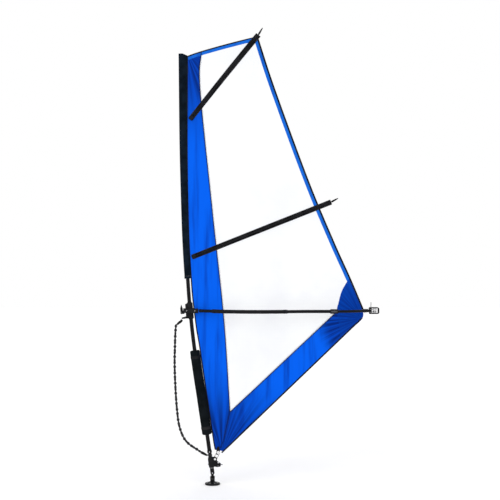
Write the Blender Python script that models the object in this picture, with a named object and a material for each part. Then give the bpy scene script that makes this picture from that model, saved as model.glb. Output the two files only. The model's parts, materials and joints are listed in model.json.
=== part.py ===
"""A windsurf rig on its mast foot: mast, sail, boom, universal joint, downhaul, outhaul and uphaul.

Metres, +Z up. The origin is the centre of the foot disc's underside. +X runs aft, from mast to clew,
and the rig is symmetrical about the plane y = 0, apart from the battens, which lie on the -Y face.
"""

import math

import bmesh
import bpy
from mathutils import Matrix, Vector

GAP = 0.0003

# The mast's centreline as (x, z): raked forwards at the foot and bending upright towards the head.
MAST_LINE = [
    (0.000, 0.106),
    (-0.054, 0.49),
    (-0.158, 1.19),
    (-0.200, 1.56),
    (-0.222, 1.84),
    (-0.247, 2.30),
    (-0.263, 3.01),
    (-0.270, 3.88),
]
MAST_FOOT_Z = 0.31
MAST_SPLIT_Z = 2.02
MAST_HEAD_Z = 3.845
MAST_FOOT_RADIUS = 0.018
MAST_SPLIT_RADIUS = 0.0165
MAST_HEAD_RADIUS = 0.0115
MAST_WALL = 0.0028
TUBE_SIDES = 12

# The sail's edges as (x, z), and how far it bellies out sideways. Its luff lies aft of the mast's
# centreline by a (distance, z) list.
LUFF_FOOT_Z = 0.312
LUFF_HEAD_Z = 3.852
LUFF_SETBACK = [
    (0.0510, 0.312),
    (0.0475, 0.450),
    (0.0475, 1.190),
    (0.0400, 1.360),
    (0.0340, 1.560),
    (0.0290, 1.840),
    (0.0300, 2.560),
    (0.0320, 3.010),
    (0.0410, 3.852),
]
SEAM_EDGE = [(0.157, 0.655), (0.101, 1.500), (0.000, 2.450), (-0.112, 3.560), (-0.100, 3.893)]
LEECH_EDGE = [
    (1.364, 1.560),
    (1.246, 1.840),
    (1.084, 2.200),
    (0.860, 2.740),
    (0.5625, 3.550),
    (0.405, 4.030),
]
PATCH_EDGE = [(1.118, 1.557), (1.134, 1.640), (1.165, 1.745), (1.2345, 1.8635)]
TACK = (0.0855, 0.2835)
CLEW = (1.350, 1.4976)
CLEW_RING = (1.374, 1.556)
SAIL_THICKNESS = 0.003
CAMBER = 0.035
SEAM_GAP = 0.0012
PANEL_ROWS = 16

# The battens as (x, z) ends: the pocket's luff end, the leech and the bare tip.
BATTENS = {
    "lower": [(-0.182, 2.046), (1.068, 2.542), (1.131, 2.576)],
    "upper": [(-0.197, 3.289), (0.413, 4.046), (0.451, 4.108)],
}
POCKET_HALF_WIDTHS = {"lower": 0.0235, "upper": 0.0245}
POCKET_HALF_THICKNESS = 0.0065
BATTEN_RADIUS = 0.0045
BATTEN_TIP_SHARES = [0.02, 0.30, 0.70, 1.0]
BATTEN_TIP_RADII = [0.0085, 0.0085, 0.0065, 0.0025]

SLEEVE_FOOT_Z = 1.853
SLEEVE_HEAD_Z = 3.878
SLEEVE_FRONT = [(0.0280, 1.853), (0.0300, 2.560), (0.0330, 3.010), (0.0360, 3.878)]

PAD_RADIUS = 0.0445
PAD_FOOT_Z = 0.452
PAD_HEAD_Z = 1.206

BOOM_Z = 1.565
ARM_RADIUS = 0.0145
ARM_WALL = 0.0017
TAIL_RADIUS = ARM_RADIUS - ARM_WALL - 0.0006
ARM_ROUTE = [
    (-0.1195, 0.0480),
    (-0.0950, 0.0500),
    (-0.040, 0.0820),
    (0.100, 0.1600),
    (0.300, 0.2120),
    (0.500, 0.2140),
    (0.700, 0.1800),
    (0.800, 0.1590),
    (0.900, 0.1505),
    (0.960, 0.1500),
    (1.020, 0.1500),
    (1.080, 0.1500),
]
ARM_STRAIGHT_Y = 0.150
ARM_END_X = 1.080
TAIL_ROUTE = [
    (0.930, 0.1500),
    (1.000, 0.1500),
    (1.080, 0.1500),
    (1.135, 0.1500),
    (1.200, 0.1400),
    (1.300, 0.0980),
    (1.375, 0.0580),
    (1.405, 0.0490),
]
ARM_ROWS = 18
GRIP_ROWS = (2, 12)
GRIP_RADIUS = 0.0170
CLIP_X = 1.050
CLIP_END_X = 1.118
CLIP_RADIUS = 0.0205
LEVER_PIN_RADIUS = 0.0025

FOOT_RADIUS = 0.068
FOOT_PIVOT_Z = 0.064
MAST_PIVOT_Z = 0.106
PIVOT_PIN_RADIUS = 0.005
PIVOT_PIN_HALF = 0.0225
YOKE_HALF_WIDTH = 0.020
YOKE_HALF_GAP = 0.0125
YOKE_HALF_DEPTH = 0.0175
RAKE = -math.atan2(0.054, 0.384)

EXTENSION_RADIUS = 0.0142
EXTENSION_FOOT = 0.046
EXTENSION_HEAD = 0.420
MAST_END = 0.2055
BUTTON_ALONG = 0.080
COLLAR_FOOT = 0.181
COLLAR_PIN_ALONG = 0.192

SHEAVE_RADIUS = 0.0140
SHEAVE_HALF_WIDTH = 0.0040
SHEAVE_AXLE_RADIUS = 0.0028
SHEAVE_PLACE = (0.040, 0.119)
ROLLER_PLACE = (0.052, 0.288)
ROLLER_RADIUS = 0.0135
ROPE_RADIUS = 0.0022
SHEAVE_OFFSET = 0.0046
CLEAT_ROPE = [(0.0903, 0.0643), (0.0603, 0.0943)]
ROPE_BEND_RADIUS = 0.0140

TAIL_SHEAVE_RADIUS = 0.0190
TAIL_SHEAVE_X = 1.458
TAIL_SHEAVE_OFFSET = 0.0105
TAIL_AXLE_RADIUS = 0.0030
TAIL_SHEAVE_HALF = 0.0100

UPHAUL_RADIUS = 0.0100
UPHAUL_GRIP = [
    (-0.2745, 0.0, 1.4825),
    (-0.2840, 0.0, 1.4680),
    (-0.3030, 0.0, 1.4540),
    (-0.3190, 0.0, 1.4380),
]
UPHAUL_GRIP_RADII = [0.0100, 0.0115, 0.0125, 0.0125, 0.0115, 0.0105, 0.0085]
UPHAUL_ROUTE = [
    (-0.3213, 0.0, 1.4357),
    (-0.3290, 0.0, 1.4280),
    (-0.3350, 0.0, 1.3450),
    (-0.3385, 0.0, 1.2300),
    (-0.3410, 0.0, 1.1200),
    (-0.3390, 0.0, 1.0000),
    (-0.3340, 0.0, 0.8800),
    (-0.3270, 0.0, 0.7600),
    (-0.3180, 0.0, 0.6600),
    (-0.3060, 0.0, 0.5600),
    (-0.2850, 0.0, 0.4800),
    (-0.2560, 0.0, 0.4160),
    (-0.2180, 0.0, 0.3700),
    (-0.1780, 0.0, 0.3400),
    (-0.1350, 0.0, 0.3130),
    (-0.1080, 0.0, 0.2930),
]


def clear_scene():
    for obj in list(bpy.data.objects):
        bpy.data.objects.remove(obj, do_unlink=True)


def material(name, color, roughness, metallic=0.0):
    mat = bpy.data.materials.new(name)
    mat.use_nodes = True
    shader = mat.node_tree.nodes["Principled BSDF"]
    shader.inputs["Base Color"].default_value = (*color, 1.0)
    shader.inputs["Roughness"].default_value = roughness
    shader.inputs["Metallic"].default_value = metallic
    return mat


def new_object(name, verts, faces, mat, parent=None, location=(0, 0, 0), smooth=True):
    mesh = bpy.data.meshes.new(name)
    mesh.from_pydata([tuple(v) for v in verts], [], faces)
    mesh.update()
    if smooth:
        mesh.shade_smooth()
        mesh.set_sharp_from_angle(angle=math.radians(35))
    mesh.materials.append(mat)
    obj = bpy.data.objects.new(name, mesh)
    bpy.context.scene.collection.objects.link(obj)
    obj.parent = parent
    obj.location = location
    return obj


def empty(name, location, rotation=(0, 0, 0)):
    obj = bpy.data.objects.new(name, None)
    bpy.context.scene.collection.objects.link(obj)
    obj.location = location
    obj.rotation_euler = rotation
    return obj


def smooth_curve(points, count):
    """count + 1 points spaced evenly along a Catmull-Rom curve through points."""
    knots = [Vector(p) for p in points]
    knots = [2 * knots[0] - knots[1]] + knots + [2 * knots[-1] - knots[-2]]
    fine = []
    for a, b, c, d in zip(knots, knots[1:], knots[2:], knots[3:]):
        for step in range(24):
            t = step / 24
            fine.append(
                0.5 * (2 * b + (c - a) * t + (2 * a - 5 * b + 4 * c - d) * t**2)
                + 0.5 * (3 * b - a - 3 * c + d) * t**3
            )
    fine.append(knots[-2])
    lengths = [0.0]
    for a, b in zip(fine, fine[1:]):
        lengths.append(lengths[-1] + (b - a).length)
    out = []
    at = 0
    for i in range(count + 1):
        want = lengths[-1] * i / count
        while at < len(lengths) - 2 and lengths[at + 1] < want:
            at += 1
        share = (want - lengths[at]) / (lengths[at + 1] - lengths[at])
        out.append(fine[at].lerp(fine[at + 1], share))
    return out


def height_lookup(points):
    """A function from z to x along a smooth line of (x, z) points."""
    fine = smooth_curve([(x, 0, z) for x, z in points], 160)

    def x_at(z):
        for a, b in zip(fine, fine[1:]):
            if z <= b.z:
                return a.x + (b.x - a.x) * (z - a.z) / (b.z - a.z)
        a, b = fine[-2], fine[-1]
        return a.x + (b.x - a.x) * (z - a.z) / (b.z - a.z)

    return x_at


mast_x = height_lookup(MAST_LINE)
luff_setback = height_lookup(LUFF_SETBACK)
sleeve_front = height_lookup(SLEEVE_FRONT)
leech_x = height_lookup(LEECH_EDGE)
seam_x = height_lookup(SEAM_EDGE)
CLAMP_LEAN = math.atan2(mast_x(BOOM_Z + 0.07) - mast_x(BOOM_Z - 0.07), 0.14)


def luff_x(z):
    return mast_x(z) + luff_setback(z)


def mast_radius(z):
    if z < MAST_SPLIT_Z:
        share = (z - MAST_FOOT_Z) / (MAST_SPLIT_Z - MAST_FOOT_Z)
        return MAST_FOOT_RADIUS + share * (MAST_SPLIT_RADIUS - MAST_FOOT_RADIUS)
    share = (z - MAST_SPLIT_Z) / (MAST_HEAD_Z - MAST_SPLIT_Z)
    return MAST_SPLIT_RADIUS + share * (MAST_HEAD_RADIUS - MAST_SPLIT_RADIUS)


def mast_points(low, high, count):
    zs = [low + (high - low) * i / count for i in range(count + 1)]
    return [Vector((mast_x(z), 0, z)) for z in zs]


def frames(points, across):
    """For each point: its normal in the plane of the path, and its other normal, near across."""
    out = []
    for i, p in enumerate(points):
        a = points[max(i - 1, 0)]
        b = points[min(i + 1, len(points) - 1)]
        along = (b - a).normalized()
        first = across.cross(along).normalized()
        out.append((p, first, along.cross(first).normalized()))
    return out


def ring_faces(start_a, start_b, sides):
    return [
        (start_a + k, start_a + (k + 1) % sides, start_b + (k + 1) % sides, start_b + k)
        for k in range(sides)
    ]


def swept(name, points, section, mat, hollow=None, across=(0, 1, 0)):
    """A bar along points. section(i, angle) and hollow(i, angle) give distances along the two normals."""
    verts = []
    faces = []
    rows = frames(points, Vector(across))
    sides = TUBE_SIDES
    for skin in [section] if hollow is None else [section, hollow]:
        for i, (p, first, second) in enumerate(rows):
            for k in range(sides):
                u, v = skin(i, 2 * math.pi * k / sides)
                verts.append(p + first * u + second * v)
    count = len(rows)
    for i in range(count - 1):
        faces += ring_faces(i * sides, (i + 1) * sides, sides)
    if hollow is None:
        faces.append(tuple(reversed(range(sides))))
        faces.append(tuple(range((count - 1) * sides, count * sides)))
    else:
        inner = count * sides
        for i in range(count - 1):
            faces += ring_faces(inner + (i + 1) * sides, inner + i * sides, sides)
        faces += ring_faces(inner, 0, sides)
        faces += ring_faces((count - 1) * sides, inner + (count - 1) * sides, sides)
    obj = new_object(name, verts, faces, mat)
    face_outwards(obj)
    return obj


def face_outwards(obj):
    bm = bmesh.new()
    bm.from_mesh(obj.data)
    bmesh.ops.recalc_face_normals(bm, faces=bm.faces)
    bm.to_mesh(obj.data)
    bm.free()


def circle(radius):
    """A round section: radius is one number, or a list with one for each row."""

    def at(i, angle):
        r = radius[i] if isinstance(radius, list) else radius
        return r * math.cos(angle), r * math.sin(angle)

    return at


def turned(name, profile, mat, parent=None, location=(0, 0, 0), axis="Z", sides=16):
    """A solid of revolution. profile lists (radius, height) from one end on the axis, or a closed ring."""
    verts = []
    faces = []
    on_axis = profile[0][0] == 0
    rows = []
    for radius, height in profile:
        if radius == 0:
            rows.append([len(verts)])
            verts.append(Vector((0, 0, height)))
            continue
        rows.append(list(range(len(verts), len(verts) + sides)))
        for k in range(sides):
            angle = 2 * math.pi * k / sides
            verts.append(Vector((radius * math.cos(angle), radius * math.sin(angle), height)))
    pairs = list(zip(rows, rows[1:]))
    if not on_axis:
        pairs.append((rows[-1], rows[0]))
    for a, b in pairs:
        for k in range(sides):
            k2 = (k + 1) % sides
            if len(a) == 1:
                faces.append((a[0], b[k], b[k2]))
            elif len(b) == 1:
                faces.append((a[k2], a[k], b[0]))
            else:
                faces.append((a[k], b[k], b[k2], a[k2]))
    quarter = math.pi / 2
    turn = {"Z": Matrix(), "Y": Matrix.Rotation(-quarter, 4, "X"), "X": Matrix.Rotation(quarter, 4, "Y")}
    verts = [turn[axis] @ v for v in verts]
    obj = new_object(name, verts, faces, mat, parent, location)
    face_outwards(obj)
    return obj


def block(name, size, mat, parent=None, location=(0, 0, 0), bevel=0.0):
    x, y, z = (s / 2 for s in size)
    verts = [(a, b, c) for a in (-x, x) for b in (-y, y) for c in (-z, z)]
    faces = [(0, 1, 3, 2), (4, 6, 7, 5), (0, 4, 5, 1), (2, 3, 7, 6), (0, 2, 6, 4), (1, 5, 7, 3)]
    obj = new_object(name, verts, faces, mat, parent, location, smooth=False)
    face_outwards(obj)
    if bevel:
        edge = obj.modifiers.new("rounded", "BEVEL")
        edge.width = bevel
        edge.segments = 2
    return obj


def plate(name, outline, low, high, mat, parent=None, location=(0, 0, 0), axis="Y", bevel=0.0):
    """outline lists corners in the plane square to axis, and the plate runs from low to high along it."""
    spots = {
        "X": lambda a, b, t: (t, a, b),
        "Y": lambda a, b, t: (a, t, b),
        "Z": lambda a, b, t: (a, b, t),
    }
    spot = spots[axis]
    count = len(outline)
    verts = [spot(a, b, t) for t in (low, high) for a, b in outline]
    faces = [tuple(range(count)), tuple(range(2 * count - 1, count - 1, -1))]
    faces += [(k, k + count, (k + 1) % count + count, (k + 1) % count) for k in range(count)]
    obj = new_object(name, verts, faces, mat, parent, location, smooth=False)
    face_outwards(obj)
    if bevel:
        edge = obj.modifiers.new("rounded", "BEVEL")
        edge.width = bevel
        edge.segments = 2
    return obj


def ring(radius, low, high, bore, mat, name, **place):
    """A plain tube between two heights on its own axis."""
    return turned(name, [(bore, low), (radius, low), (radius, high), (bore, high)], mat, **place)


def pin(radius, low, high, mat, name, **place):
    return turned(name, [(0, low), (radius, low), (radius, high), (0, high)], mat, **place)


def boolean(obj, other, operation="DIFFERENCE"):
    step = obj.modifiers.new(operation.lower(), "BOOLEAN")
    step.operation = operation
    step.object = other
    other.hide_render = True
    other.display_type = "WIRE"


def tube_cord(name, route, radius, mat, resample):
    """A cord as a round tube along a smooth curve through the route's own points."""
    points = smooth_curve(route, resample) if resample else route
    curve = bpy.data.curves.new(name, "CURVE")
    curve.dimensions = "3D"
    curve.bevel_depth = radius
    curve.bevel_resolution = 2
    curve.use_fill_caps = True
    spline = curve.splines.new("POLY")
    spline.points.add(len(points) - 1)
    for spot, p in zip(spline.points, points):
        spot.co = (*p, 1.0)
    curve.materials.append(mat)
    obj = bpy.data.objects.new(name, curve)
    bpy.context.scene.collection.objects.link(obj)
    return obj


def belly(x, z):
    """How far the sail bellies out at a point, towards -Y."""
    low = luff_x(z)
    foot = TACK[0] + (CLEW[0] - TACK[0]) * (z - TACK[1]) / (CLEW[1] - TACK[1])
    high = leech_x(z) if z > CLEW[1] else foot
    share = min(max((x - low) / max(high - low, 0.05), 0), 1)
    return -CAMBER * 4 * share * (1 - share) * min(1.0, (high - low) / 0.8)


def panel(name, left, right, across, mat):
    """A thin curved panel. left and right are its two edges as (x, z), with the same number of points."""
    verts = []
    for side in (-0.5, 0.5):
        for (ax, az), (bx, bz) in zip(left, right):
            for k in range(across + 1):
                x = ax + (bx - ax) * k / across
                z = az + (bz - az) * k / across
                verts.append((x, belly(x, z) + side * SAIL_THICKNESS, z))
    wide = across + 1
    up = len(left) - 1
    back = wide * (up + 1)
    faces = []
    for i in range(up):
        for k in range(across):
            a = i * wide + k
            faces.append((a, a + 1, a + 1 + wide, a + wide))
            faces.append((back + a, back + a + wide, back + a + 1 + wide, back + a + 1))
    rim = list(range(wide))
    rim += [i * wide + across for i in range(1, up + 1)]
    rim += [up * wide + k for k in range(across - 1, -1, -1)]
    rim += [i * wide for i in range(up - 1, 0, -1)]
    for a, b in zip(rim, rim[1:] + rim[:1]):
        faces.append((a, back + a, back + b, b))
    obj = new_object(name, verts, faces, mat)
    face_outwards(obj)
    return obj


def even_heights(line, low, high, count):
    """count + 1 points of a (x, z) line at even heights."""
    zs = [low + (high - low) * i / count for i in range(count + 1)]
    return [(line(z), z) for z in zs]


def between(a, b, shares):
    return [(a[0] + (b[0] - a[0]) * t, a[1] + (b[1] - a[1]) * t) for t in shares]


def shifted(points, dx, dz):
    return [(x + dx, z + dz) for x, z in points]


def make_mast(black, plastic):
    for name, low, high in (
        ("mast_bottom", MAST_FOOT_Z, MAST_SPLIT_Z - GAP),
        ("mast_top", MAST_SPLIT_Z, MAST_HEAD_Z),
    ):
        rows = mast_points(low, high, 14)
        outer = [mast_radius(p.z) for p in rows]
        bore = [r - MAST_WALL for r in outer]
        swept(name, rows, circle(outer), black, hollow=circle(bore))
    place = empty("mast_head_place", (mast_x(MAST_HEAD_Z), 0, MAST_HEAD_Z))
    plug = MAST_HEAD_RADIUS - MAST_WALL - 0.0004
    profile = [
        (0, -0.030),
        (plug, -0.030),
        (plug, GAP),
        (MAST_HEAD_RADIUS, GAP),
        (MAST_HEAD_RADIUS, 0.008),
        (0.007, 0.014),
        (0, 0.015),
    ]
    turned("mast_cap", profile, plastic, place, sides=16)


def make_sleeve(fabric):
    """The black luff sleeve, a drop-shaped tube round the mast, open at both ends."""
    rows = mast_points(SLEEVE_FOOT_Z, SLEEVE_HEAD_Z, 16)
    thick = [mast_radius(min(p.z, MAST_HEAD_Z)) + 0.0030 for p in rows]
    front = [sleeve_front(p.z) for p in rows]
    back = [luff_setback(p.z) - 0.0020 for p in rows]

    def lens(i, angle):
        reach = back[i] if math.cos(angle) > 0 else front[i]
        return reach * math.cos(angle), thick[i] * math.sin(angle)

    hole = [t - 0.0022 for t in thick]
    swept("luff_sleeve", rows, lens, fabric, hollow=circle(hole))


def make_sail(blue, film):
    g = SEAM_GAP
    seam_foot, seam_head = SEAM_EDGE[0][1], SEAM_EDGE[-1][1]
    luff = even_heights(luff_x, LUFF_FOOT_Z, LUFF_HEAD_Z, PANEL_ROWS)
    seam = even_heights(seam_x, seam_foot, seam_head, PANEL_ROWS)
    panel("sail_luff_panel", luff, shifted(seam, -g, 0), 3, blue)

    patch_rows = len(PATCH_EDGE)
    leech_rows = PANEL_ROWS + 1 - patch_rows
    leech = even_heights(leech_x, PATCH_EDGE[-1][1], LEECH_EDGE[-1][1], leech_rows)[1:]
    window_edge = shifted(PATCH_EDGE, -1.5 * g, 1.5 * g) + leech
    window_seam = shifted(seam, g, 0)
    window_seam[0] = (seam[0][0] + 2 * g, seam[0][1] + 2 * g)
    panel("sail_window", window_seam, window_edge, 8, film)

    shares = [0, 0.04, 0.2, 0.4, 0.6, 0.8, 1]
    foot = [(luff[0][0] + 4 * g, luff[0][1] - g)] + between(TACK, CLEW, shares[1:])
    seam_end = (seam[0][0] + g, seam[0][1] - 2 * g)
    patch_end = (PATCH_EDGE[0][0], PATCH_EDGE[0][1] - 3 * g)
    inner = between(seam_end, patch_end, shares)
    panel("sail_foot_panel", foot, inner, 3, blue)

    patch = shifted(PATCH_EDGE, g, -g)
    patch[-1] = (patch[-1][0] - 5 * g, patch[-1][1] - 3 * g)
    leech = even_heights(leech_x, CLEW[1] + 4 * g, patch[-1][1] - g, patch_rows - 1)
    leech[0] = (CLEW[0], CLEW[1] + 4 * g)
    panel("sail_clew_patch", patch, leech, 3, blue)


def batten_line(name, start, end):
    """Points along one batten, just off the sail's -Y face."""
    ends = BATTENS[name]
    lift = SAIL_THICKNESS / 2 + POCKET_HALF_THICKNESS + 0.0022
    count = 8
    points = []
    for i in range(count + 1):
        t = start + (end - start) * i / count
        x = ends[0][0] + (ends[1][0] - ends[0][0]) * t
        z = ends[0][1] + (ends[1][1] - ends[0][1]) * t
        points.append(Vector((x, belly(x, z) - lift, z)))
    return points


def batten_section(half_width, half_height):
    """An oval whose long side lies in the sail."""
    return lambda i, angle: (half_width * math.cos(angle), half_height * math.sin(angle))


def make_battens(fabric, rod):
    for name, ends in BATTENS.items():
        half_width = POCKET_HALF_WIDTHS[name]
        swept(
            f"batten_pocket_{name}",
            batten_line(name, 0.0, 1.0),
            batten_section(half_width, POCKET_HALF_THICKNESS),
            fabric,
            hollow=circle(BATTEN_RADIUS + 0.0005),
        )
        line = batten_line(name, 0.006, 1.002)
        tip = Vector((ends[2][0], line[-1].y, ends[2][1]))
        line += [line[-1].lerp(tip, share) for share in BATTEN_TIP_SHARES]
        radii = [BATTEN_RADIUS] * (len(line) - len(BATTEN_TIP_RADII)) + BATTEN_TIP_RADII
        swept(f"batten_{name}", line, circle(radii), rod)


def make_pad(foam):
    rows = mast_points(PAD_FOOT_Z, PAD_HEAD_Z, 8)
    bore = [mast_radius(p.z) + 0.0006 for p in rows]
    swept("mast_pad", rows, circle(PAD_RADIUS), foam, hollow=circle(bore))


def yoke(name, mat, parent, base_low, base_high, pivot, end):
    """A fork: a base block with two ears at x = +-, drilled along X at its pivot height."""
    w, g = YOKE_HALF_WIDTH, YOKE_HALF_GAP
    outline = [(-w, base_low), (w, base_low), (w, end), (g, end)]
    outline += [(g, base_high), (-g, base_high), (-g, end), (-w, end)]
    fork = plate(name, outline, -YOKE_HALF_DEPTH, YOKE_HALF_DEPTH, mat, parent, bevel=0.002)
    drill = pin(PIVOT_PIN_RADIUS + 0.0004, -0.04, 0.04, mat, f"{name}_drill", parent=parent, axis="X")
    drill.location = (0, 0, pivot)
    boolean(fork, drill)
    return fork


def make_foot(plastic, rubber, steel):
    """The foot disc, the swivelling lower fork and the link with its two crossed pins."""
    profile = [
        (0, 0.0043),
        (FOOT_RADIUS, 0.0043),
        (FOOT_RADIUS + 0.001, 0.008),
        (FOOT_RADIUS - 0.002, 0.014),
        (0.046, 0.020),
        (0.028, 0.026),
        (0.023, 0.030),
        (0.009, 0.030),
        (0.009, 0.041),
        (0, 0.041),
    ]
    turned("foot_disc", profile, plastic, sides=32)
    pin(FOOT_RADIUS - 0.002, 0, 0.004, rubber, "foot_pad", sides=32)
    fork = yoke("foot_yoke", plastic, None, 0.0303, 0.049, FOOT_PIVOT_Z, FOOT_PIVOT_Z + 0.011)
    socket = pin(0.0093, 0.02, 0.0413, plastic, "foot_socket")
    boolean(fork, socket)
    place = {"location": (0, 0, FOOT_PIVOT_Z), "axis": "X"}
    pin(PIVOT_PIN_RADIUS, -PIVOT_PIN_HALF, PIVOT_PIN_HALF, steel, "foot_pivot_pin", **place)


def make_link(rubber, steel):
    g = YOKE_HALF_GAP - 0.0007
    low, high = FOOT_PIVOT_Z, MAST_PIVOT_Z
    arc = [math.pi * k / 8 for k in range(9)]
    top = [(g * math.cos(a), high + g * math.sin(a)) for a in arc]
    bottom = [(-g * math.cos(a), low - g * math.sin(a)) for a in arc]
    link = plate("joint_link", [(g, low - g), (g, high)] + top[1:] + [(-g, low - g)], -g, g, rubber)
    outline = [(g, high + 0.02), (-g, high + 0.02)] + bottom
    shape = plate("link_foot", outline, -0.03, 0.03, rubber, axis="X")
    boolean(link, shape, "INTERSECT")
    for name, height, axis in (("link_low_drill", low, "X"), ("link_high_drill", high, "Y")):
        place = {"location": (0, 0, height), "axis": axis}
        drill = pin(PIVOT_PIN_RADIUS + GAP, -0.03, 0.03, steel, name, **place)
        boolean(link, drill)
    place = {"location": (0, 0, high), "axis": "Y"}
    pin(PIVOT_PIN_RADIUS, -PIVOT_PIN_HALF, PIVOT_PIN_HALF, steel, "mast_pivot_pin", **place)


def make_mast_yoke(rake, plastic, steel):
    """The upper fork, upside down and a quarter turn round, and the steel pin that it stands on."""
    turn = empty("mast_yoke_turn", (0, 0, 0), (math.pi, 0, math.pi / 2))
    turn.parent = rake
    yoke("mast_yoke", plastic, turn, -0.042, -0.0155, 0, 0.011)
    pin(0.0112, 0.0423, 0.100, steel, "mast_pin", parent=rake)


def extension_outline():
    """The head's bracket in the (across, along) plane: sheave cheeks above and the cleat arm below."""
    return [
        (0.010, 0.058),
        (0.050, 0.046),
        (0.079, 0.046),
        (0.082, 0.054),
        (0.060, 0.076),
        (0.056, 0.100),
        (0.056, 0.128),
        (0.046, 0.138),
        (0.010, 0.140),
    ]


def make_extension(rake, alloy, plastic, steel, white, accent):
    wall = EXTENSION_RADIUS - 0.0022
    ends = (EXTENSION_FOOT, EXTENSION_HEAD)
    tube = ring(EXTENSION_RADIUS, *ends, wall, alloy, "extension_tube", parent=rake)
    profile = [
        (EXTENSION_RADIUS + GAP, 0.048),
        (0.022, 0.048),
        (0.025, 0.060),
        (0.025, 0.125),
        (0.019, 0.145),
        (EXTENSION_RADIUS + GAP, 0.145),
    ]
    head = turned("extension_head", profile, plastic, rake)
    bracket = plate("bracket", extension_outline(), -0.0135, 0.0135, plastic, rake)
    boolean(head, bracket, "UNION")
    bore = pin(EXTENSION_RADIUS + GAP, 0, 0.3, plastic, "head_bore", parent=rake)
    boolean(head, bore)
    slot = block("sheave_slot", (0.06, 0.0190, 0.056), plastic, rake, (0.0535, 0, 0.130))
    boolean(head, slot)
    spot = (0.054, -SHEAVE_OFFSET, 0.1005)
    channel = block("rope_channel", (0.034, 0.0075, 0.026), plastic, rake, spot)
    boolean(head, channel)
    x, z = SHEAVE_PLACE
    place = {"parent": rake, "location": (x, 0, z), "axis": "Y"}
    drill = pin(SHEAVE_AXLE_RADIUS + GAP, -0.03, 0.03, steel, "axle_drill", **place)
    boolean(head, drill)
    pin(SHEAVE_AXLE_RADIUS, -0.0132, 0.0132, steel, "downhaul_axle", sides=12, **place)
    place = {"parent": rake, "location": (0, 0, BUTTON_ALONG), "axis": "X"}
    well = pin(0.0068, -0.034, -0.0190, plastic, "button_well", **place)
    boolean(head, well)
    pin(0.0062, -0.0290, -0.0225, accent, "release_button", **place)
    for name, side in (("near", -1), ("far", 1)):
        spot = (x, side * SHEAVE_OFFSET, z)
        sheave(f"downhaul_sheave_{name}", white, rake, spot, SHEAVE_RADIUS, SHEAVE_HALF_WIDTH)
    cleat = block("clam_cleat", (0.026, 0.012, 0.010), alloy, rake, (0.0749, 0, 0.0689), bevel=0.0015)
    cleat.rotation_euler = (0, math.radians(45), 0)
    bore, top = EXTENSION_RADIUS + GAP, MAST_END - 0.001
    collar = ring(0.0215, COLLAR_FOOT, top, bore, plastic, "extension_collar", parent=rake)
    place = {"parent": rake, "location": (0, 0, COLLAR_PIN_ALONG), "axis": "Y", "sides": 12}
    hole = pin(0.0029, -0.04, 0.04, steel, "collar_drill", **place)
    boolean(collar, hole)
    boolean(tube, hole)
    rod = [(0, -0.026), (0.0045, -0.026), (0.0045, -0.0222)]
    rod += [(0.0025, -0.0222), (0.0025, 0.024), (0, 0.024)]
    turned("collar_pin", rod, steel, **place)


def sheave(name, mat, parent, location, radius, half, bore=SHEAVE_AXLE_RADIUS, axis="Y"):
    """A grooved wheel with a bored hub."""
    groove = radius - 0.003
    profile = [
        (bore + GAP, -half),
        (radius, -half),
        (radius, -half + 0.0006),
        (groove, -half + 0.0012),
        (groove, half - 0.0012),
        (radius, half - 0.0006),
        (radius, half),
        (bore + GAP, half),
    ]
    return turned(name, profile, mat, parent, location, axis=axis)


def make_tack(plastic, steel, white):
    """The block at the tack: a folded plate with a cheek on either face of the sail, and a roller."""
    x, z = ROLLER_PLACE
    corners = [(-0.017, -0.021), (-0.005, -0.021), (0.012, -0.008), (0.014, 0.010)]
    corners += [(0.010, 0.052), (-0.004, 0.056), (-0.014, 0.040), (-0.018, -0.004)]
    outline = shifted(corners, x, z)
    block_plate = plate("tack_block", outline, -0.0072, 0.0072, plastic)
    room = block("tack_room", (0.08, 0.0092, 0.085), plastic, None, (x, 0, z + 0.025))
    boolean(block_plate, room)
    drill = pin(0.0031, -0.02, 0.02, steel, "tack_drill", location=(x, 0, z), axis="Y", sides=12)
    boolean(block_plate, drill)
    pin(SHEAVE_AXLE_RADIUS, -0.0085, 0.0085, steel, "tack_pin", location=(x, 0, z), axis="Y", sides=12)
    sheave("tack_roller", white, None, (x, 0, z), ROLLER_RADIUS, SHEAVE_HALF_WIDTH)


def raked(x, z):
    """A point of the raked (across, along) plane, in world coordinates."""
    s, c = math.sin(-RAKE), math.cos(-RAKE)
    return x * c - z * s, MAST_PIVOT_Z + x * s + z * c


def wrap(centre, radius, start, end, y_start, y_end, steps=7):
    """Rope points round a sheave, from one angle to another in degrees, from +X towards +Z."""
    points = []
    for k in range(steps + 1):
        angle = math.radians(start + (end - start) * k / steps)
        y = y_start + (y_end - y_start) * k / steps
        points.append((centre[0] + radius * math.cos(angle), y, centre[1] + radius * math.sin(angle)))
    return points


def make_downhaul(rope):
    """From the cleat round the near sheave, over the tack roller and down to the far sheave."""
    low = raked(*SHEAVE_PLACE)
    r = ROPE_BEND_RADIUS
    y = SHEAVE_OFFSET
    cleat = [raked(*spot) for spot in CLEAT_ROPE]
    middle = [(low[0] + ROLLER_PLACE[0]) / 2, (low[1] + ROLLER_PLACE[1]) / 2]
    side = (0.9 * r, -0.45 * r)
    route = [(x, -y, z) for x, z in cleat]
    route += wrap(low, r, -115, -206, -y, -y)
    route += [(middle[0] - side[0], -0.2 * y, middle[1] - side[1])]
    route += wrap(ROLLER_PLACE, r, 154, -26, 0, 0)
    route += [(middle[0] + side[0], 0.2 * y, middle[1] + side[1])]
    route += wrap(low, r, -26, -150, y, y)
    tube_cord("downhaul_line", route, ROPE_RADIUS, rope, resample=None)


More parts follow.
